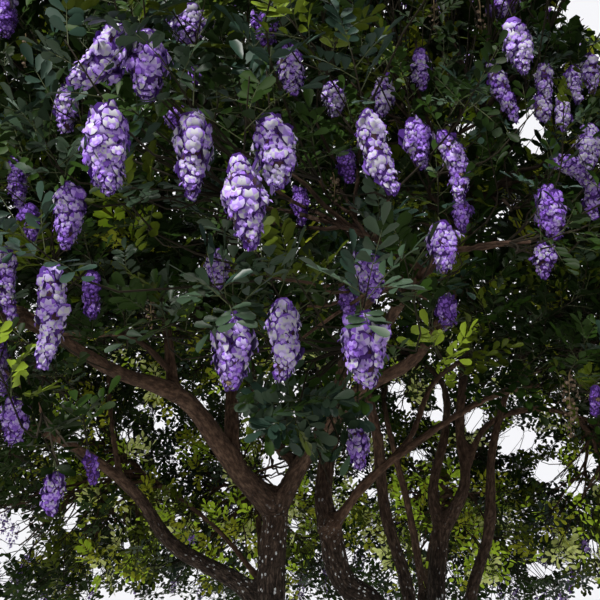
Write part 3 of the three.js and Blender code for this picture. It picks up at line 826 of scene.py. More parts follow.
# The bark's coordinates run on from each limb into those that grow from it.
limb_frame = {}
for name in LIMBS:
    path, _, _ = limb_paths[name]
    home, shift, ref = .03, hash_name(name), None
    for other in limb_frame:
        d = np.linalg.norm(limb_paths[other][0] - path[0], axis=1)
        i = int(d.argmin())
        if d[i] < home:
            home, shift, ref = d[i], limb_frame[other][3] + limb_paths[other][2][i], limb_frame[other][1][i]
    limb_frame[name] = (*frames(path, ref), shift)


def foot_mesh():
    """The joined foot with root swellings, running out at the ground."""
    sides, lobes = 60, 5
    zs = [-.05, 0, .012, .03, .055, .09, .135, .19, .25, .31, .345]
    ang = np.arange(sides) * 2 * math.pi / sides
    rings = []
    for z in zs:
        rise = min(1, max(0, z / .33))
        flare = .120 * (1 - rise) ** 2.6
        lobe = .5 + .5 * np.cos(lobes * ang + .9)
        waist = .215 * (1 - .16 * rise - .07 * np.cos(2 * ang))
        rad = waist + flare * (.35 + .9 * lobe ** 1.3) - (.040 if z > .32 else 0) + .006 * np.cos(11 * ang + 9 * z)
        rings.append(np.stack([rad * np.cos(ang), .86 * rad * np.sin(ang) + .03 * rise, np.full(sides, z)], axis=1))
    v = np.vstack(rings)
    q = []
    for i in range(len(zs) - 1):
        k = np.arange(sides)
        k2 = (k + 1) % sides
        q.append(np.stack([i * sides + k, i * sides + k2, (i + 1) * sides + k2, (i + 1) * sides + k], axis=1))
    q = np.vstack(q)
    tri = np.vstack([q[:, [0, 1, 2]], q[:, [0, 2, 3]]])
    c0, c1 = len(v), len(v) + 1
    v = np.vstack([v, [0, 0, zs[0]], [0, .03, zs[-1]]])
    k = np.arange(sides)
    k2 = (k + 1) % sides
    top = (len(zs) - 1) * sides
    tri = np.vstack([tri, np.stack([np.full(sides, c0), k2, k], axis=1), np.stack([np.full(sides, c1), top + k, top + k2], axis=1)])
    return v, tri


def nearest_on_limbs(p, names):
    """For each point the nearest limb sample: along, side and over parts, and that limb's radius."""
    pts, tan, sa, sb, ss, rr = [], [], [], [], [], []
    for n in names:
        path, r, s = limb_paths[n]
        t, a, b, shift = limb_frame[n]
        pts.append(path); tan.append(t); sa.append(a); sb.append(b); ss.append(s + shift); rr.append(r)
    pts, tan, sa, sb = map(np.vstack, (pts, tan, sa, sb))
    ss, rr = np.concatenate(ss), np.concatenate(rr)
    from mathutils.kdtree import KDTree
    kd = KDTree(len(pts))
    for i, q in enumerate(pts):
        kd.insert(q, i)
    kd.balance()
    idx = np.array([kd.find(q)[1] for q in p])
    d = p - pts[idx]
    return np.sum(d * sa[idx], axis=1), np.sum(d * sb[idx], axis=1), ss[idx], rr[idx], np.sum(d * tan[idx], axis=1)


thick = Gather()
v, f = foot_mesh()
thick.add(v, f)
for name in THICK:
    path, r, s = limb_paths[name]
    v, f = tube(path[::2], limb_radii(name, r, s, path)[::2], 14)
    thick.add(v, f)
v, f, _ = thick.arrays()
raw = new_mesh("wood_raw", v, f, [])
mod = raw.modifiers.new("join", "REMESH")
mod.mode = "VOXEL"
mod.voxel_size = 0.0132
mod = raw.modifiers.new("ease", "SMOOTH")
mod.factor = 0.5
mod.iterations = 4
bpy.context.view_layer.update()
dg = bpy.context.evaluated_depsgraph_get()
ev = raw.evaluated_get(dg).to_mesh()
n = len(ev.vertices)
wv = np.empty(n * 3)
ev.vertices.foreach_get("co", wv)
wv = wv.reshape(-1, 3)
wn = np.empty(n * 3)
ev.vertices.foreach_get("normal", wn)
wn = wn.reshape(-1, 3)
ev.calc_loop_triangles()
wf = np.empty(len(ev.loop_triangles) * 3, np.int32)
ev.loop_triangles.foreach_get("vertices", wf)
wf = wf.reshape(-1, 3)
raw.evaluated_get(dg).to_mesh_clear()
bpy.data.objects.remove(raw)

edges = np.unique(np.sort(np.vstack([wf[:, [0, 1]], wf[:, [1, 2]], wf[:, [2, 0]]]), axis=1), axis=0)
ease = np.clip((.62 - wv[:, 2]) / .20, 0, 1) * np.clip((wv[:, 2] - .015) / .06, 0, 1)
count = np.zeros(len(wv))
np.add.at(count, edges[:, 0], 1)
np.add.at(count, edges[:, 1], 1)
for _ in range(26):
    mean = np.zeros_like(wv)
    for k in range(3):
        mean[:, k] = (np.bincount(edges[:, 0], wv[edges[:, 1], k], len(wv)) + np.bincount(edges[:, 1], wv[edges[:, 0], k], len(wv))) / count
    wv += (mean - wv) * (.6 * ease)[:, None]
la, lb, ls, lr, lt = nearest_on_limbs(wv, THICK)
co = np.stack([la, lb, (ls + lt) * 0.34], axis=1)
in_foot = np.clip((0.34 - wv[:, 2]) / 0.12, 0, 1)[:, None]
foot_co = np.stack([wv[:, 0], wv[:, 1], wv[:, 2] * 0.34], axis=1)
co = co * (1 - in_foot) + foot_co * in_foot
ridge = noise3(co * np.array([55, 55, 26]))
ridge2 = noise3(co * np.array([110, 110, 60]) + 7)
size = np.clip(lr / .05, .25, 1.1) * (1 - in_foot[:, 0]) + in_foot[:, 0] * 1.5
knots = np.clip(noise3(co * np.array([9, 9, 14]) + 21) - .35, 0, 1)
lift = (0.0036 * ridge + 0.0018 * ridge2 + .010 * knots) * size
wv = wv + wn * lift[:, None]
wv[:, 2] = np.maximum(wv[:, 2], 0)
rise = wv[:, 2] + .16 * noise3(wv * 5)
young = np.clip(np.maximum((rise - 1.45) / .75, (.031 - lr) / .012), 0, 1)
lichen = np.clip((1.93 - rise) / .22, 0, 1) * np.interp(wv[:, 2], [0, .5, 1.2, 1.5], [.15, .30, .50, 1]) * np.clip((lr - .022) / .017, 0, 1)
for _ in range(14):
    spread = np.stack([young, lichen], axis=1)
    mean = np.stack([(np.bincount(edges[:, 0], spread[edges[:, 1], k], len(wv)) + np.bincount(edges[:, 1], spread[edges[:, 0], k], len(wv))) / count for k in range(2)], axis=1)
    young, lichen = (spread + (mean - spread) * .8).T
# the bark attribute holds young wood, lichen, and painted shade that darkens the limbs from 2.29 m up
limbs = new_mesh("limbs", wv, wf, [BARK], attributes={"bark_co": co, "bark_age_and_shade": np.stack([young, lichen, .92 * np.clip((wv[:, 2] - 2.29) / .17, 0, 1)], axis=1)})
print("limb triangles", len(wf))

thin = Gather()
for name in LIMBS:
    if name in THICK:
        continue
    path, r, s = limb_paths[name]
    rr = limb_radii(name, r, s, path)[::2]
    v, f = tube(path[::2], rr, 9)
    t, a, b = frames(path[::2])
    along = np.concatenate([np.repeat(s[::2], 9), [0, s[-1]]])
    ang = np.tile(np.arange(9) * 2 * math.pi / 9, len(rr))
    rad = np.repeat(rr, 9)
    c = np.stack([np.concatenate([np.cos(ang) * rad, [0, 0]]), np.concatenate([np.sin(ang) * rad, [0, 0]]), (along + hash_name(name)) * .34], axis=1)
    thin.add(v, f, 0, c)

# ---------------------------------------------------------------------------
# Branching: limb end -> sub-boughs -> branches -> twigs -> shoots
# ---------------------------------------------------------------------------
def kmeans(p, k, rounds=8):
    k = max(1, min(k, len(p)))
    c = p[rng.choice(len(p), k, replace=False)].copy()
    for _ in range(rounds):
        lab = np.argmin(((p[:, None] - c[None]) ** 2).sum(-1), axis=1)
        for j in range(k):
            if np.any(lab == j):
                c[j] = p[lab == j].mean(axis=0)
    lab = np.argmin(((p[:, None] - c[None]) ** 2).sum(-1), axis=1)
    return c, lab


def bend(p0, d0, p1, d1, n):
    """A curved run from p0 heading d0 to p1 heading d1."""
    t = np.linspace(0, 1, n)[:, None]
    span = np.linalg.norm(p1 - p0)
    m0, m1 = d0 * span * .9, d1 * span * .8
    return (2 * t ** 3 - 3 * t ** 2 + 1) * p0 + (t ** 3 - 2 * t ** 2 + t) * m0 + (-2 * t ** 3 + 3 * t ** 2) * p1 + (t ** 3 - t ** 2) * m1


def leave(paths, p):
    """The best point to branch from, on a list of (path, radii, first share): its place, heading and radius."""
    best = None
    for path, radii, share in paths:
        n0 = int(len(path) * share)
        q = path[n0:]
        tan = unit(np.gradient(path, axis=0))[n0:]
        d = p - q
        dist = np.linalg.norm(d, axis=1)
        cos = np.sum(unit(d) * tan, axis=1)
        cost = dist * (1.75 - cos)
        i = int(np.argmin(cost))
        if best is None or cost[i] < best[0]:
            best = (cost[i], q[i], tan[i], radii[n0 + i])
    return best[1:]


boughs = Gather()
twigs = Gather()


SEEN_OVALS = np.array([r["oval"] for r in racemes if r["seen"]])


def duck(p):
    """Moves points that would cross before a seen cluster to just behind it, and points that
    would cross an opening in the crown to its edge."""
    p = np.array(p, float)
    u, v, deep = to_pixel(p)
    cu, cv, hu, hv, tilt, dd = SEEN_OVALS.T
    du, dv = u[:, None] - cu, v[:, None] - cv
    x = du * np.cos(tilt) + dv * np.sin(tilt)
    y = -du * np.sin(tilt) + dv * np.cos(tilt)
    hit = ((x / (hu * 1.05)) ** 2 + (y / hv) ** 2 < 1) & (deep[:, None] < dd + .045) & (deep[:, None] > .2)
    if np.any(hit):
        rows = np.where(hit.any(axis=1))[0]
        far = np.where(hit[rows], dd, 0).max(axis=1) + .05
        p[rows] = CAM_AT + (p[rows] - CAM_AT) * (far / deep[rows])[:, None]
    for hu, hv, ru, rv in ((529, 134, 27, 35), (466, 129, 11, 11), (601, 0, 35, 41)):
        q = np.stack([(u - hu) / ru, (v - hv) / rv], axis=1)
        rows = np.where((np.linalg.norm(q, axis=1) < 1) & (deep > .2))[0]
        if not len(rows):
            continue
        # the whole run passes on one side
        aim = q[rows].mean(axis=0) + np.array([-.02, .01])
        aim /= np.linalg.norm(aim)
        flank = np.array([-aim[1], aim[0]])
        for i in rows:
            b = float(np.clip(q[i] @ flank, -.98, .98))
            w = aim * math.sqrt(1 - b * b) + flank * b
            p[i] = at_pixel(hu + w[0] * ru, hv + w[1] * rv, deep[i])
    return p


def add_limb(store, path, radii, sides):
    v, f = tube(path, radii, sides)
    s = np.concatenate([[0], np.cumsum(np.linalg.norm(np.diff(path, axis=0), axis=1))])
    ang = np.tile(np.arange(sides) * 2 * math.pi / sides, len(path))
    rad = np.repeat(radii, sides)
    off = float(path[0] @ np.array([3.1, 5.7, 9.2]))
    c = np.stack([np.concatenate([np.cos(ang) * rad, [0, 0]]), np.concatenate([np.sin(ang) * rad, [0, 0]]),
                  np.concatenate([np.repeat(s, sides), [0, s[-1]]]) * .34 + off], axis=1)
    store.add(v, f, 0, c)


twig_runs = {}
rand_dir = unit(rng.normal(0, 1, shoot_p.shape))
base_out = crown_out(shoot_p)
shoot_dir = unit(base_out * np.array([1, 1, .55]) * 0.80 + np.array([0, 0, .36]) + rand_dir * 0.48)
for r in racemes:
    if r["seen"]:
        i = r["shoot"]
        shoot_dir[i] = unit(base_out[i] * .7 + np.array([0, 0, .5]) + rand_dir[i] * .3)
shoot_dir[HUNG] = unit(rand_dir[HUNG] * .45 + np.array([0, -.35, -.80]))
shoot_base = shoot_p - shoot_dir * 0.03

for mi, m in enumerate(masses):
    ids = np.where(shoot_mass == mi)[0]
    if not len(ids):
        continue
    pts = shoot_base[ids]
    feeders = [(limb_paths[n][0], limb_paths[n][1], .55) for n, L in LIMBS.items() if L[2] == m["name"]]
    heart = np.mean([p[-1] for p, _, _ in feeders], axis=0)
    c2, lab2 = kmeans(pts, max(3, len(pts) // 6))
    keep = [j for j in range(len(c2)) if np.any(lab2 == j)]
    c2 = c2[keep]
    remap = {j: i for i, j in enumerate(keep)}
    lab2 = np.array([remap[j] for j in lab2])
    c2 = c2 + (heart - c2) * .30 - np.array([0, 0, .03])
    c1, lab1 = kmeans(c2, max(2, len(c2) // 5))
    c1 = c1 + (heart - c1) * .42
    for j in range(len(c1)):
        if not np.any(lab1 == j):
            continue
        q, tan, rad = leave(feeders, c1[j])
        kids = np.where(lab1 == j)[0]
        n_shoots = sum(int(np.sum(lab2 == k)) for k in kids)
        r0 = min(rad * .86, .0026 * math.sqrt(n_shoots) + .003)
        aim = unit(c2[kids].mean(axis=0) - c1[j] + 1e-6)
        path = bend(q, unit(tan + unit(c1[j] - q) * .9), c1[j], unit(aim + unit(c1[j] - q)), 10)
        path[1:-1] += jitter(8, .006)
        path[1:] = duck(path[1:])
        rr = np.linspace(r0, r0 * .66, 10)
        rr[0] *= 1.25
        add_limb(boughs, path, rr, 7)
        for k in kids:
            mine = np.where(lab2 == k)[0]
            if not len(mine):
                continue
            q2, t2, rad2 = leave([(path, rr, .35)], c2[k])
            ra = min(rad2 * .85, .0019 * math.sqrt(len(mine)) + .0012)
            aim2 = unit(pts[mine].mean(axis=0) - c2[k] + 1e-6)
            path2 = bend(q2, unit(t2 + unit(c2[k] - q2)), c2[k], unit(aim2 + unit(c2[k] - q2) * .6), 7)
            path2[1:-1] += jitter(5, .004)
            path2[1:] = duck(path2[1:])
            rr2 = np.linspace(ra, ra * .62, 7)
            add_limb(boughs, path2, rr2, 5)
            for s in mine:
                q3, t3, rad3 = leave([(path2, rr2, .25)], pts[s])
                rt = min(rad3 * .85, .0024)
                path3 = bend(q3, unit(t3 + unit(pts[s] - q3)), pts[s], shoot_dir[ids[s]], 5)
                path3[1:-1] += jitter(3, .003)
                path3[1:-1] = duck(path3[1:-1])
                twig_runs[ids[s]] = (path3, rt)
# a thinner limb that arches away from the foot of bough_left_rise
arch = spline([limb_paths["bough_left_rise"][0][6], at_pixel(157, 357, 2.58), at_pixel(142, 343, 2.55), at_pixel(120, 333, 2.50),
               at_pixel(100, 333, 2.44), at_pixel(82, 338, 2.38), at_pixel(62, 336, 2.30)], .04)[0]
add_limb(boughs, arch, np.linspace(.0115, .0050, len(arch)), 9)
print("bough triangles", boughs.tris(), "twig triangles", twigs.tris())

# ---------------------------------------------------------------------------
# Leaves: each shoot carries a spray of compound leaves
# ---------------------------------------------------------------------------
n_shoot = len(shoot_p)
u_s, v_s, d_s = to_pixel(shoot_p)
near_shoot = (d_s < 2.15) & (u_s > -60) & (u_s < 660) & (v_s > -60) & (v_s < 640)
in_frame = (u_s > -40) & (u_s < 640) & (v_s > -40) & (v_s < 640) & shows
n_leaf = np.where(in_frame, rng.integers(5, 8, n_shoot) + ((d_s > 2.6) & (v_s > 340) & (rng.random(n_shoot) < .5)), rng.integers(4, 6, n_shoot))
length_s = rng.uniform(.070, .125, n_shoot)

# colour by spray: plain greens dealt out at random, with painted light and shade: darker tones where sprays stand in
# shade, brighter tones where light falls or shines through
tone_p = np.array([.26, .31, .25, .08, .07, .03])
inside_p = np.array([.54, .30, .08, .01, .01, .06])
spray_tone = rng.choice(6, n_shoot, p=tone_p)
# painted shade: sprays inside the crown get darker tones
interior = in_frame & ~near_shoot & (v_s < 350) & (d_s > 2.0)
spray_tone[interior] = rng.choice(6, int(interior.sum()), p=inside_p)
# the foremost sprays get more of the blue and grey tones, partly painted sheen
foremost = near_shoot & (d_s < 1.55)
spray_tone[foremost] = rng.choice(6, int(foremost.sum()), p=[.22, .24, .21, .14, .14, .05])
shaded = near_shoot & (d_s > 1.7)
spray_tone[shaded] = rng.choice(6, int(shaded.sum()), p=[.58, .27, .06, .01, .01, .07])
# painted shade: the near sprays at the upper right get darker tones
right = near_shoot & (u_s > 385) & (v_s < 260)
spray_tone[right] = rng.choice(6, int(right.sum()), p=[.36, .34, .16, .04, .02, .08])
# painted light: some inner sprays deep in the crown get bright tones, as if lit through
bright = (rim * np.sum(unit(shoot_p - CENTRES[shoot_mass]) * base_out, axis=1) < .45) & (interior | (near_shoot & in_hollow(u_s, v_s) & (d_s > 1.6))) & (d_s > 2.1) & (rng.random(n_shoot) < np.where(u_s > 380, .17, .10))
spray_tone[bright] = rng.choice([5, 9, 6, 7], int(bright.sum()), p=[.22, .36, .24, .18])
of_cluster = np.zeros(n_shoot, bool)
of_cluster[[r["shoot"] for r in racemes if r["seen"]]] = True
# painted light and shade: sprays that carry seen clusters get the lighter tones, and at the right darker ones
cluster_lit_and_shaded = of_cluster & (rng.random(n_shoot) < .8)
spray_tone[cluster_lit_and_shaded] = rng.choice([2, 3, 4, 5], int(cluster_lit_and_shaded.sum()), p=[.38, .29, .30, .03])
cluster_lit_and_shaded &= u_s > 385
spray_tone[cluster_lit_and_shaded] = rng.choice([1, 2, 3, 4, 5], int(cluster_lit_and_shaded.sum()), p=[.20, .42, .20, .10, .08])
# painted light: the near sprays in the upper right corner get brighter tones
corner_high = near_shoot & (u_s > 520) & (u_s < 640) & (v_s < 95)
spray_tone[corner_high] = rng.choice([2, 3, 4, 5], int(corner_high.sum()), p=[.15, .20, .35, .30])
inner_face = np.sum(unit(shoot_p - CENTRES[shoot_mass]) * base_out, axis=1) * rim < .18
lit_through = (shoot_p[:, 1] > .35) & (shoot_p[:, 2] < 2.75) & inner_face
# painted light: patches of sprays on the far inner face get the bright backlit tones, the lower ones more so
patch = noise3(shoot_p * 3.1 + 11)
pick = lit_through & (rng.random(n_shoot) < np.clip(.66 + 1.5 * patch, .16, 1))
spray_tone[pick] = rng.choice([1, 5, 6, 7, 8], int(pick.sum()), p=[.06, .14, .27, .31, .22])
low = pick & (shoot_p[:, 2] < 1.75)
spray_tone[low] = rng.choice([1, 5, 6, 7, 8], int(low.sum()), p=[.06, .10, .22, .32, .30])
# painted shade: higher in the picture more of these go dark again
dim = pick & in_frame & (rng.random(n_shoot) < np.interp(v_s, [250, 330, 440, 510], [.78, .52, .34, .0]))
spray_tone[dim] = rng.choice([0, 1, 5], int(dim.sum()), p=[.52, .33, .15])
# painted light: backlit tones for the far sprays at the lower left corner too
low_corner = lit_through & in_frame & (u_s < 150) & (v_s > 490) & (rng.random(n_shoot) < .55)
spray_tone[low_corner] = rng.choice([1, 5, 6], int(low_corner.sum()), p=[.35, .40, .25])
under = (base_out[:, 2] < -.05) & (rng.random(n_shoot) < .13)
spray_tone[under] = rng.choice([4, 5], int(under.sum()))
# painted shade: the near sprays at the lower left get dark tones
corner_low = near_shoot & (v_s > 370) & (u_s < 135)
spray_tone[corner_low] = rng.choice([0, 1, 2], int(corner_low.sum()), p=[.30, .40, .30])
spray_tone[SHADE] = scatter.choice([0, 1, 2, 5], len(SHADE), p=[.46, .34, .13, .07])
spray_tone[HUNG] = [5, 4, 2, 3, 4, 2, 4, 3, 4, 2]
# the brightest tones, painted backlight and lit leaves, stay under the cover of other sprays
for i in np.where(spray_tone > 5)[0]:
    d = shoot_p - shoot_p[i]
    along = d @ base_out[i]
    aside = np.linalg.norm(d - along[:, None] * base_out[i], axis=1)
    cover = np.sum((along > .09) & (aside < .15))
    if cover < (5 if shoot_p[i, 1] < 0 else 10 if shoot_p[i, 2] > 2.15 else 1):
        spray_tone[i] = (1, 2, 5, 2)[i % 4]
# the far hem: darker greens, with some painted backlight in gold
spray_tone[HEM] = scatter.choice([0, 1, 5, 6], len(HEM), p=[.30, .30, .25, .15])
spray_tone[YOUNG] = 9

rep = np.repeat(np.arange(n_shoot), n_leaf)
order = np.concatenate([np.arange(k) for k in n_leaf])
frac = (order + .5) / n_leaf[rep]
A = shoot_dir[rep]
ref = across(shoot_dir, np.where(np.abs(shoot_dir[:, 2:3]) > .9, np.array([[1.0, 0, 0]]), np.array([[0, 0, 1.0]])))
S0 = ref[rep]
S1 = np.cross(A, S0)
start = rng.uniform(0, 2 * math.pi, n_shoot)
phi = start[rep] + order * 2.39996 + rng.normal(0, .2, len(rep))
O = S0 * np.cos(phi)[:, None] + S1 * np.sin(phi)[:, None]
theta = np.radians(78 - 48 * frac + rng.normal(0, 9, len(rep)))
leaf_axis = unit(A * np.cos(theta)[:, None] + O * np.sin(theta)[:, None] + np.array([0, 0, .12]))
leaf_base = shoot_p[rep] + A * (length_s[rep] * frac)[:, None]
normal_hint = A * .8 + np.array([0, 0, .75]) + rng.normal(0, .22, (len(rep), 3))
leaf_n = across(leaf_axis, normal_hint)
leaf_s = np.cross(leaf_axis, leaf_n)
leaf_len = rng.uniform(.068, .105, len(rep)) * (1 - .22 * frac)
pairs = np.where(in_frame[rep], rng.choice([2, 3, 4], len(rep), p=[.38, .50, .12]), rng.choice([2, 3], len(rep), p=[.58, .42]))
pairs = np.where(near_shoot[rep], rng.choice([3, 4, 5], len(rep), p=[.42, .42, .16]), pairs)
droop = rng.uniform(.03, .22, len(rep))
near_leaf = near_shoot[rep]
leaf_tone = spray_tone[rep].copy()
swap = rng.random(len(rep)) < .22
shift = rng.integers(-1, 2, len(rep))
leaf_tone = np.where(swap, np.where(leaf_tone == 9, 9, np.where(leaf_tone > 5, np.clip(leaf_tone + shift, 5, 8), np.clip(leaf_tone + shift, 0, 5))), leaf_tone)
n_leaves = len(rep)
print("leaves", n_leaves)
# painted light: scattered single leaves inside the crown get bright tones, as if caught by the sun
within = in_frame & (v_s < 350) & (d_s > 1.75) & (rim * np.sum(unit(shoot_p - CENTRES[shoot_mass]) * base_out, axis=1) < .48) & (shoot_p[:, 2] < 3.1)
lit_leaf = within[rep] & (rng.random(n_leaves) < np.where(u_s[rep] > 380, .13, .09) * np.interp(d_s[rep], [1.9, 2.3], [.45, 1]))
leaf_tone[lit_leaf] = np.where(d_s[rep][lit_leaf] < 2.15, rng.choice([9, 5], int(lit_leaf.sum()), p=[.40, .60]), rng.choice([9, 6, 5], int(lit_leaf.sum()), p=[.42, .38, .20]))

def rachis_at(t, base, ax, nn, ln, dr):
    return base + ax * (ln * t)[:, None] - nn * (ln * dr * t * t)[:, None] + nn * (ln * .10 * t)[:, None]


# leaflets
slots_t, slots_side, slots_leaf, slots_size = [], [], [], []
for np_ in (2, 3, 4, 5):
    ids = np.where(pairs == np_)[0]
    for j in range(np_):
        t = .30 + (.62) * (j / max(1, np_ - .35))
        for side in (-1, 1):
            slots_leaf.append(ids)
            slots_t.append(np.full(len(ids), t) + (.015 * side))
            slots_side.append(np.full(len(ids), side))
            slots_size.append(np.full(len(ids), (.80 + .20 * (j + 1) / np_)))
    slots_leaf.append(ids)
    slots_t.append(np.full(len(ids), .97))
    slots_side.append(np.zeros(len(ids)))
    slots_size.append(np.full(len(ids), 1.06))
L_leaf = np.concatenate(slots_leaf)
L_t = np.concatenate(slots_t)
L_side = np.concatenate(slots_side)
L_size = np.concatenate(slots_size)
nl = len(L_leaf)
ax, nn, ss = leaf_axis[L_leaf], leaf_n[L_leaf], leaf_s[L_leaf]
pos = rachis_at(L_t, leaf_base[L_leaf], ax, nn, leaf_len[L_leaf], droop[L_leaf])
tang = unit(ax - nn * (2 * droop[L_leaf] * L_t - .10)[:, None])
open_a = np.radians(rng.uniform(44, 66, nl))
D = unit(tang * np.where(L_side == 0, 1, np.cos(open_a))[:, None] + ss * (L_side * np.sin(open_a))[:, None] + nn * rng.uniform(-.10, .34, nl)[:, None])
N = across(D, nn + rng.normal(0, .24, (nl, 3)) - ss * (L_side * .25)[:, None])
S = np.cross(D, N)
seen_far = in_frame & (d_s > 1.8) & (v_s > 300)
far_grow = np.where(near_leaf[L_leaf], 1.0, np.where(seen_far[rep][L_leaf], .93, 1.35))
closest = (near_shoot & (d_s < 1.65))[rep][L_leaf]
upper_right = (near_shoot & (u_s > 372) & (v_s < 262))[rep][L_leaf]
size_l = np.where(near_leaf[L_leaf], rng.uniform(.028, .038, nl), rng.uniform(.032, .043, nl)) * L_size * far_grow * np.where(upper_right, .85, np.where(closest, 1.04, 1))
size_w = size_l * np.where(closest, rng.uniform(.43, .57, nl), np.where(near_leaf[L_leaf], rng.uniform(.42, .56, nl), rng.uniform(.48, .60, nl)))
curl = rng.uniform(-.05, .16, nl)
fold = rng.uniform(.02, .13, nl)

# sprays whose twigs would cross an opening are left out
run = np.stack([twig_runs[i][0] if i in twig_runs else np.repeat(shoot_p[i][None], 5, axis=0) for i in range(n_shoot)])
run = np.concatenate([run] + [run[:, 1:] * k + run[:, :-1] * (1 - k) for k in (.25, .5, .75)] + [(shoot_p + shoot_dir * length_s[:, None])[:, None]], axis=1)
ru, rv, rd = [a.reshape(n_shoot, -1) for a in to_pixel(run.reshape(-1, 3))]
crossing = np.zeros(n_shoot, bool)
for gu, gv, hw, hh in LOBES + [(276, 482, 9, 16), (13, 534, 15, 26), (71, 516, 8, 17)]:
    crossing |= ((((ru - gu) / (hw + .6)) ** 2 + ((rv - gv) / (hh + .6)) ** 2 < 1) & (rd > (.3 if gv < 200 else 2.0))).any(axis=1)
crossing |= ((ru > 568) & (ru < 606) & (rv < 38 - (600 - np.minimum(ru, 600)) * .8) & (rv > -8)).any(axis=1)
crossing &= shoot_kind == 0

# leave the sky gaps open
centre = pos + D * (size_l * .5)[:, None]
ragged = rng.uniform(.62, 1.22, nl)
hide = open_to_view(centre, 22 * rng.random(nl) - 4, ragged)
for share in (0.0, .25, .8, 1.0):
    hide |= in_lobes(pos + D * (size_l * share)[:, None], ragged * .9)
for share in (.1, .3, .5, .7, .95):
    crosses = in_lobes(rachis_at(np.full(n_leaves, share), leaf_base, leaf_axis, leaf_n, leaf_len, droop), .90)
    hide |= crosses[L_leaf]
hide |= in_gap(centre, (.75 + .5 * rng.random(nl)))
cu, cv, cd = to_pixel(centre)
hide |= (cd > 2.7) & (cv > 440) & (cu > 130) & (cu < 600) & (rng.random(nl) < .13)
# keep inside the solid model's box
lo, hi = np.array(CAD_BOX[0]) - .055, np.array(CAD_BOX[1]) + .055
tip = pos + D * size_l[:, None]
hide |= np.any((tip < lo) | (tip > hi), axis=1)
hide |= rng.random(nl) < np.maximum(veil(centre, .95, .055), veil(tip, .86, .055))
hide |= crossing[rep[L_leaf]]
left = np.bincount(L_leaf[~hide], minlength=n_leaves)
gone = left < 2
hide |= gone[L_leaf]
keepers = np.where(~hide)[0]
is_near = near_leaf[L_leaf]
bearing = np.bincount(rep[~gone], minlength=n_shoot) > 0
bearing[[r["shoot"] for r in racemes]] = True

# twigs run on through their shoots
for i in range(n_shoot):
    if not bearing[i]:
        continue
    path3, rt = twig_runs[i]
    end1 = shoot_p[i] + shoot_dir[i] * length_s[i] * .45
    end2 = shoot_p[i] + shoot_dir[i] * length_s[i] * .98
    if near_shoot[i]:
        v, f = tube(np.vstack([path3, end1, end2]), np.array([rt, .9 * rt + .0002, .8 * rt + .0003, .0019, .0017, .0014, .0009]), 5)
    else:
        beside = np.any((np.abs(ru[i] - 528) < 55) & (np.abs(rv[i] - 134) < 60))
        if beside:
            v, f = tube(np.vstack([path3, end2]), np.array([rt, .9 * rt, .85 * rt + .0002, .8 * rt, .0018, .0010]), 3)
        else:
            v, f = tube(np.vstack([path3[[0, 2, 4]], end2]), np.array([rt, .85 * rt + .0002, .0018, .0010]), 3)
        f = f[:-6]
    twigs.add(v, f, 0)

# leaf stalks
r0 = leaf_base
r1 = rachis_at(np.full(n_leaves, .5), leaf_base, leaf_axis, leaf_n, leaf_len, droop)
r2 = rachis_at(np.full(n_leaves, .97), leaf_base, leaf_axis, leaf_n, leaf_len, droop)
w0, w1 = .0010, .0007
sv = np.stack([r0 - leaf_s * w0, r0 + leaf_s * w0, r0 - leaf_n * w0 * 1.5,
               r1 - leaf_s * w1, r1 + leaf_s * w1, r1 - leaf_n * w1 * 1.5, r2], axis=1)
sf = np.array([[0, 1, 4], [0, 4, 3], [1, 2, 5], [1, 5, 4], [2, 0, 3], [2, 3, 5], [3, 4, 6], [4, 5, 6], [5, 3, 6]])
sf_far = np.array([[0, 1, 4], [0, 4, 3], [3, 4, 6]])
stalks = Gather()
for ids, faces in ((np.where(near_leaf & ~gone)[0], sf), (np.where(~near_leaf & ~gone)[0], sf_far)):
    f = (faces[None] + (np.arange(len(ids)) * 7)[:, None, None]).reshape(-1, 3)
    stalks.add(sv[ids].reshape(-1, 3), f, 1)

# templates: x across, y along, z up (in widths, lengths, lengths)
near_t = np.array([
    [0, 0, 0], [0, .52, -.4], [0, .985, -1.0],
    [-.27, .26, .3], [-.50, .66, .8], [-.33, .93, .2],
    [.27, .26, .3], [.50, .66, .8], [.33, .93, .2]], float)
near_f = np.array([[0, 1, 3], [3, 1, 4], [1, 2, 4], [4, 2, 5],
                   [0, 6, 1], [6, 7, 1], [1, 7, 2], [7, 8, 2]])
far_t = np.array([[0, 0, 0], [-.47, .62, .5], [-.26, .98, -.3], [.26, .98, -.3], [.47, .62, .5]], float)
far_f = np.array([[0, 2, 1], [0, 3, 2], [0, 4, 3]])


def leaflets(ids, temp, faces):
    x, y, z = temp[:, 0], temp[:, 1], temp[:, 2]
    # z: fold lifts the edges, curl bends the length
    lift = fold[ids][:, None] * size_l[ids][:, None] * np.abs(x)[None] * 2 - curl[ids][:, None] * size_l[ids][:, None] * (y ** 2)[None]
    v = (pos[ids][:, None, :] + D[ids][:, None, :] * (size_l[ids][:, None] * y[None])[..., None]
         + S[ids][:, None, :] * (size_w[ids][:, None] * x[None])[..., None] + N[ids][:, None, :] * lift[..., None])
    f = (faces[None] + (np.arange(len(ids)) * len(temp))[:, None, None]).reshape(-1, 3)
    mat = np.repeat(leaf_tone[L_leaf[ids]], len(faces))
    return v.reshape(-1, 3), f, mat


sector_names = ["front_low", "front_high", "left", "right", "back_low_left", "back_low_right", "back_high", "top"]


def sector_of(mi):
    m = masses[mi]
    if m["tier"] == "top":
        return "top"
    x, y = m["centre"][:2]
    if y < -.75:
        return "front_low" if m["tier"] == "skirt" else "front_high"
    if y > .6:
        if m["tier"] != "skirt":
            return "back_high"
        return "back_low_left" if x < 0 else "back_low_right"
    return "left" if x < 0 else "right"


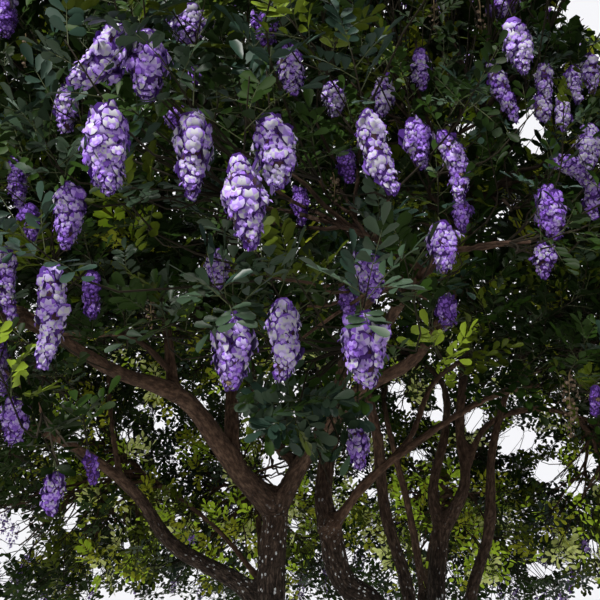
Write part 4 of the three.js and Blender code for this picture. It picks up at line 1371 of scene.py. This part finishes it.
mass_sector = [sector_of(i) for i in range(len(masses))]
leaf_sector = np.array(mass_sector)[shoot_mass[rep]][L_leaf]
root = "root"
total = 0
for sec in sector_names:
    g = Gather()
    ids = keepers[(leaf_sector[keepers] == sec) & is_near[keepers]]
    if len(ids):
        g.add(*leaflets(ids, near_t, near_f))
    ids = keepers[(leaf_sector[keepers] == sec) & ~is_near[keepers]]
    if len(ids):
        g.add(*leaflets(ids, far_t, far_f))
    v, f, mat = g.arrays()
    total += len(f)
    print("leaves", sec, len(f))
    ob = new_mesh("leaves_" + sec, v, f, LEAF, mat)
    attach(ob, root)
    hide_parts(*["foliage_" + masses[i]["name"] for i in range(len(masses)) if mass_sector[i] == sec])

# ---------------------------------------------------------------------------
# Blossom
# ---------------------------------------------------------------------------
# A flower: banner petal (inner and rim) with a dark plate behind it (painted shade), two wings
# and a keel; the calyxes go in the cluster's dark heart. x across, y up the banner, z outward from the cluster.
EDGE = [(0, .64), (.28, .84), (.64, .76), (.86, .40), (.82, -.04), (.50, -.34), (0, -.34)]
near_v = ([[0, .12, .02], [.42, .24, .20], [-.42, .24, .20]]
          + [[x, y, -.16] for x, y in EDGE]
          + [[-x, y, -.16] for x, y in EDGE[1:6]]
          # a dark plate behind the banner, a little wider than its face: painted shade that shows as dark outlines
          # between the flowers
          + [[x * 1.24, .12 + (y - .12) * 1.28, -.26] for x, y in [(.34, .84), (.88, .30), (.52, -.36), (-.52, -.36), (-.88, .30), (-.34, .84)]]
          # wings and keel
          + [[0, .02, .16], [.34, -.28, .30], [0, -.44, .40], [-.34, -.28, .30], [.10, -.66, .34], [-.10, -.66, .34]])
near_v = np.array(near_v, float)
near_fl = []
for mid_, ring, parts in ((1, [3, 4, 5, 6, 7, 8, 9], [0, 1, 1, 0, 0, 5]), (2, [3, 10, 11, 12, 13, 14, 9], [0, 1, 1, 0, 0, 5])):
    for a_, b_, part_ in zip(ring[:-1], ring[1:], parts):
        near_fl.append(([mid_, b_, a_] if mid_ == 1 else [mid_, a_, b_], part_))
    near_fl.append(([mid_, ring[0], 0] if mid_ == 1 else [mid_, 0, ring[0]], 0))
    near_fl.append(([mid_, 0, ring[-1]] if mid_ == 1 else [mid_, ring[-1], 0], 5))
near_fl += [([15, 16, 17], 3), ([15, 17, 18], 3), ([15, 18, 19], 3), ([15, 19, 20], 3),
            ([21, 23, 22], 2), ([21, 24, 23], 2), ([22, 23, 25], 1), ([23, 24, 26], 1), ([23, 26, 25], 3)]
far_v = np.array([[0, .05, .05], [-.62, .35, .0], [-.30, .95, -.06], [.30, .95, -.06], [.62, .35, .0], [0, .55, .14],
                  [-.30, -.35, .30], [.30, -.35, .30], [0, -.5, .45]], float)
far_fl = [([0, 5, 1], 0), ([1, 5, 2], 1), ([2, 5, 3], 0), ([3, 5, 4], 1), ([4, 5, 0], 0), ([0, 6, 8], 2), ([0, 8, 7], 2)]
TONES = np.array([   # banner, rim, wing, keel, calyx, shaded half of the banner
    [0, 2, 2, 4, 5, 2],
    [1, 3, 2, 4, 5, 2],
    [2, 3, 3, 4, 5, 3],
    [3, 4, 3, 4, 5, 4],
    [6, 7, 6, 7, 7, 7],
    [0, 1, 1, 3, 5, 1]])

petals = Gather()
far_petals = Gather()


def flowers(store, pos, out, up, size, tone, tv, tf):
    side = np.cross(up, out)
    v = (pos[:, None, :] + side[:, None, :] * (size[:, None] * tv[None, :, 0])[..., None]
         + up[:, None, :] * (size[:, None] * tv[None, :, 1])[..., None] + out[:, None, :] * (size[:, None] * tv[None, :, 2])[..., None])
    faces = np.array([a for a, _ in tf])
    part = np.array([b for _, b in tf])
    f = (faces[None] + (np.arange(len(pos)) * len(tv))[:, None, None]).reshape(-1, 3)
    mat = TONES[tone][:, part].reshape(-1)
    store.add(v.reshape(-1, 3), f, mat)


for r in racemes:
    i = r["shoot"]
    tip_s = shoot_p[i] + shoot_dir[i] * length_s[i] * .55
    top, foot = r["top"], r["foot"]
    L = np.linalg.norm(foot - top)
    near = r["near"]
    dirn = unit(foot - top)
    bow_dir = across(dirn, np.array([1.0, 0, 0]) if r["seen"] else out_dir[i])
    axis_n = 12
    t = np.linspace(0, 1, axis_n)
    spine = top + (foot - top) * t[:, None] + bow_dir * (np.sin(t * math.pi) * r["bow"] * L * .5)[:, None]
    wave = rng.normal(0, 1, 3) * np.array([.0035, .0035, 0])
    spine = spine + wave * np.sin(t * rng.uniform(4, 7) + rng.uniform(0, 6))[:, None] * t[:, None]
    # stalk from the shoot to the cluster, then its axis
    start_p = shoot_p[i]
    stalk = bend(start_p, shoot_dir[i], spine[0], unit(spine[1] - spine[0] + 1e-6), 6)
    if near:
        full = np.vstack([stalk[:-1], spine])
        v, f = tube(full, np.linspace(.0017, .0008, len(full)), 4)
    else:
        full = np.vstack([stalk[[0, 3]], spine[::4]])
        v, f = tube(full, np.linspace(.0017, .0008, len(full)), 3)
    stalks.add(v, f, 1 if r["tone"] != 4 else 2)
    W = r["width"] * (.475 if near else .52)
    spent = r["tone"] == 4
    if near and not spent:
        cover = 2 * math.pi * W * .78 * L
        count = int(np.clip(cover / (1.18 * (.0120 if W > .02 else .0104) ** 2), 14, 108))
        grain = math.sqrt(cover / (1.25 * count)) * 1.06
    else:
        count = int(np.clip(L * 640 * (W / .027) ** .9, 14, 96) * (.7 if spent else .44))
        grain = .0108
    k = np.arange(count)
    tt = (k + .5) / count
    tt = tt ** .96
    prof = np.interp(tt, [0, .10, .24, .38, .52, .66, .80, .92, 1.0], rng.uniform(.86, 1.13, 9) * [.50, .84, .98, 1.02, .96, .86, .70, .46, .20])
    spot = np.stack([np.interp(tt, t, spine[:, c]) for c in range(3)], axis=1)
    tan = unit(np.stack([np.interp(tt, t, np.gradient(spine[:, c])) for c in range(3)], axis=1))
    a0 = across(tan, np.array([0.0, -1.0, 0.05]))
    a1 = np.cross(tan, a0)
    ang = k * 2.39996 + rng.normal(0, .20 if near else .25, count) + rng.uniform(0, 6)
    lump = 1 + .09 * np.sin(2 * ang + rng.uniform(0, 6)) * np.sin(tt * 7 + rng.uniform(0, 6)) + rng.normal(0, .078, count)
    lump = np.where(rng.random(count) < .09, lump + .24, lump)
    out = a0 * np.cos(ang)[:, None] + a1 * np.sin(ang)[:, None]
    size = grain * rng.uniform(.74, 1.30, count) * np.interp(tt, [0, .5, 1], [1.05, 1.0, .80])
    if spent:
        size = size * .42
    if not near:
        size = size * 1.20
    gapr = np.maximum(W * prof * lump - size * .50, .003)
    inner = np.zeros(count, bool)
    pos = spot + out * gapr[:, None] + tan * rng.normal(0, .002, count)[:, None]
    loose = .19 if near and not spent else .26
    face = unit(out + tan * rng.normal(.05, loose, count)[:, None] + jitter(count, loose) + np.array([0, 0, .04]))
    upv = across(face, -tan + jitter(count, loose * 1.4))
    tone = np.full(count, r["tone"])
    if not spent:
        roll = rng.random(count)
        drift = noise3(pos * 42 + r["shoot"] * 3.7)
        tone = np.clip(tone + np.where(roll + drift * .9 < .30, -1, 0) + np.where(roll + drift * .9 > .78, 1, 0), 0, 3)
        tone = np.where(inner, np.minimum(tone + 1, 3), tone)
        if r["tone"] == 0 and r["seen"]:
            tone = np.where((tone == 0) & (rng.random(count) < .60), 5, tone)
        faded = (rng.random(count) < .010) | ((tt > .9) & (rng.random(count) < .12))
        tone = np.where(faded, 4, tone)
        size = np.where(faded, size * .55, size)
    flowers(petals if r["seen"] else far_petals, pos, face, upv, size, tone, near_v if near else far_v, near_fl if near else far_fl)
    # dark heart: the calyxes and backs of the flowers, close together, and painted shade deep inside the cluster
    if near and not spent:
        heart = np.interp(t, [0, .06, .28, .50, .72, .90, 1.0], [.20, .60, .74, .70, .56, .34, .12]) * W
        v, f = tube(spine, heart, 9)
        v = v + jitter(len(v), W * .05)
        petals.add(v, f, np.where(rng.random(len(f)) < .45, 5, 4))
v, f, mat = petals.arrays()
print("blossom", len(f))
blossom = new_mesh("blossom", v, f, PETAL, mat, smooth=True)
v, f, mat = far_petals.arrays()
print("crown blossom", len(f))
crown_blossom = new_mesh("blossom_crown", v, f, PETAL, mat, smooth=False)

# ---------------------------------------------------------------------------
# Wood pieces
# ---------------------------------------------------------------------------
fine = Gather()
for src in (thin, boughs):
    for v, f, mt, a in zip(src.v, src.f, src.m, src.a):
        fine.v.append(v); fine.a.append(a); fine.m.append(mt)
offs = 0
fine.f = []
for v, f, src_off in [(v, f, None) for src in (thin, boughs) for v, f in zip(src.v, src.f)]:
    fine.f.append(f - f.min() + offs)
    offs += len(v)
v, f, mat = fine.arrays()
bark_co = np.vstack(fine.a)
# the bark attribute holds young wood, no lichen, and painted shade that darkens the branches from 2.17 m up
branches = new_mesh("branches", v, f, [BARK], attributes={"bark_co": bark_co, "bark_age_and_shade": np.stack([np.ones(len(v)), np.zeros(len(v)), np.clip((v[:, 2] - 2.17) / .22, 0, 1)], axis=1)})
v, f, mat = twigs.arrays()
print("branches", branches.data.polygons.__len__(), "twigs", len(f))
twig_ob = new_mesh("twigs", v, f, TWIG, mat)
v, f, mat = stalks.arrays()
print("stalks", len(f))
stalk_ob = new_mesh("leaf_stalks", v, f, TWIG, mat)
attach(stalk_ob, root)

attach(limbs, root)
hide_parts("trunk_foot", *THICK)
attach(branches, root)
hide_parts(*[n for n in LIMBS if n not in THICK])
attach(twig_ob, root)
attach(blossom, root)
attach(crown_blossom, root)

# ---------------------------------------------------------------------------
# Floor, light, camera
# ---------------------------------------------------------------------------
fm = plain("floor_pale", (0.46, 0.45, 0.42), 0.9, 0.2)
fv = np.array([[-60, -60, -.001], [60, -60, -.001], [60, 60, -.001], [-60, 60, -.001]], float)
floor = new_mesh("floor", fv, np.array([[0, 1, 2, 3]]), [fm])

world = bpy.data.worlds.new("studio")
bpy.context.scene.world = world
world.use_nodes = True
wn, wl = world.node_tree.nodes, world.node_tree.links
bg = wn["Background"]
way = wn.new("ShaderNodeTexCoord")
facing = wn.new("ShaderNodeVectorMath")
facing.operation = "DOT_PRODUCT"
facing.inputs[1].default_value = (0, 0.985, 0.17)
wl.new(way.outputs["Generated"], facing.inputs[0])
glow = wn.new("ShaderNodeMapRange")
glow.interpolation_type = "SMOOTHSTEP"
glow.inputs["From Min"].default_value = 0.50
glow.inputs["From Max"].default_value = 0.82
wl.new(facing.outputs["Value"], glow.inputs["Value"])
height = wn.new("ShaderNodeSeparateXYZ")
wl.new(way.outputs["Generated"], height.inputs["Vector"])
haze = wn.new("ShaderNodeMapRange")
haze.interpolation_type = "SMOOTHSTEP"
haze.inputs["From Min"].default_value = 0.03
haze.inputs["From Max"].default_value = 0.26
wl.new(height.outputs["Z"], haze.inputs["Value"])
hazy = wn.new("ShaderNodeMix")
hazy.data_type = "RGBA"
hazy.inputs["A"].default_value = (0.22, 0.225, 0.235, 1)
hazy.inputs["B"].default_value = (0.045, 0.049, 0.056, 1)
wl.new(haze.outputs["Result"], hazy.inputs["Factor"])
sky = wn.new("ShaderNodeMix")
sky.data_type = "RGBA"
wl.new(hazy.outputs["Result"], sky.inputs["A"])
sky.inputs["B"].default_value = (0.93, 0.93, 0.96, 1)
wl.new(glow.outputs["Result"], sky.inputs["Factor"])
wl.new(sky.outputs["Result"], bg.inputs["Color"])
bg.inputs["Strength"].default_value = 1.0


def sun(name, toward, strength, angle, color):
    d = bpy.data.lights.new(name, "SUN")
    d.energy = strength
    d.angle = math.radians(angle)
    d.color = color
    o = bpy.data.objects.new(name, d)
    bpy.context.scene.collection.objects.link(o)
    from mathutils import Vector
    o.rotation_euler = Vector(toward).to_track_quat("-Z", "Y").to_euler()
    return o


sun("key", (0.42, 1.0, -0.80), 5.7, 16, (1.0, 0.97, 0.93))
sun("top", (-0.15, -0.25, -1.0), 1.1, 40, (0.95, 0.98, 1.0))

cam_data = bpy.data.cameras.new("camera")
cam_data.lens = 48.0
cam_data.sensor_width = 36.0
cam_data.clip_start = 0.05
cam_data.clip_end = 100
cam = bpy.data.objects.new("camera", cam_data)
bpy.context.scene.collection.objects.link(cam)
cam.location = CAM_AT
cam.rotation_euler = (math.radians(90) + CAM_TILT, 0, 0)
bpy.context.scene.camera = cam
bpy.context.scene.view_settings.view_transform = "Standard"

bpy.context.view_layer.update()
tri_total = sum(sum(len(p.vertices) - 2 for p in o.data.polygons) for o in (limbs, branches, twig_ob, stalk_ob, blossom, crown_blossom)) + total
print("triangles in all", tri_total)
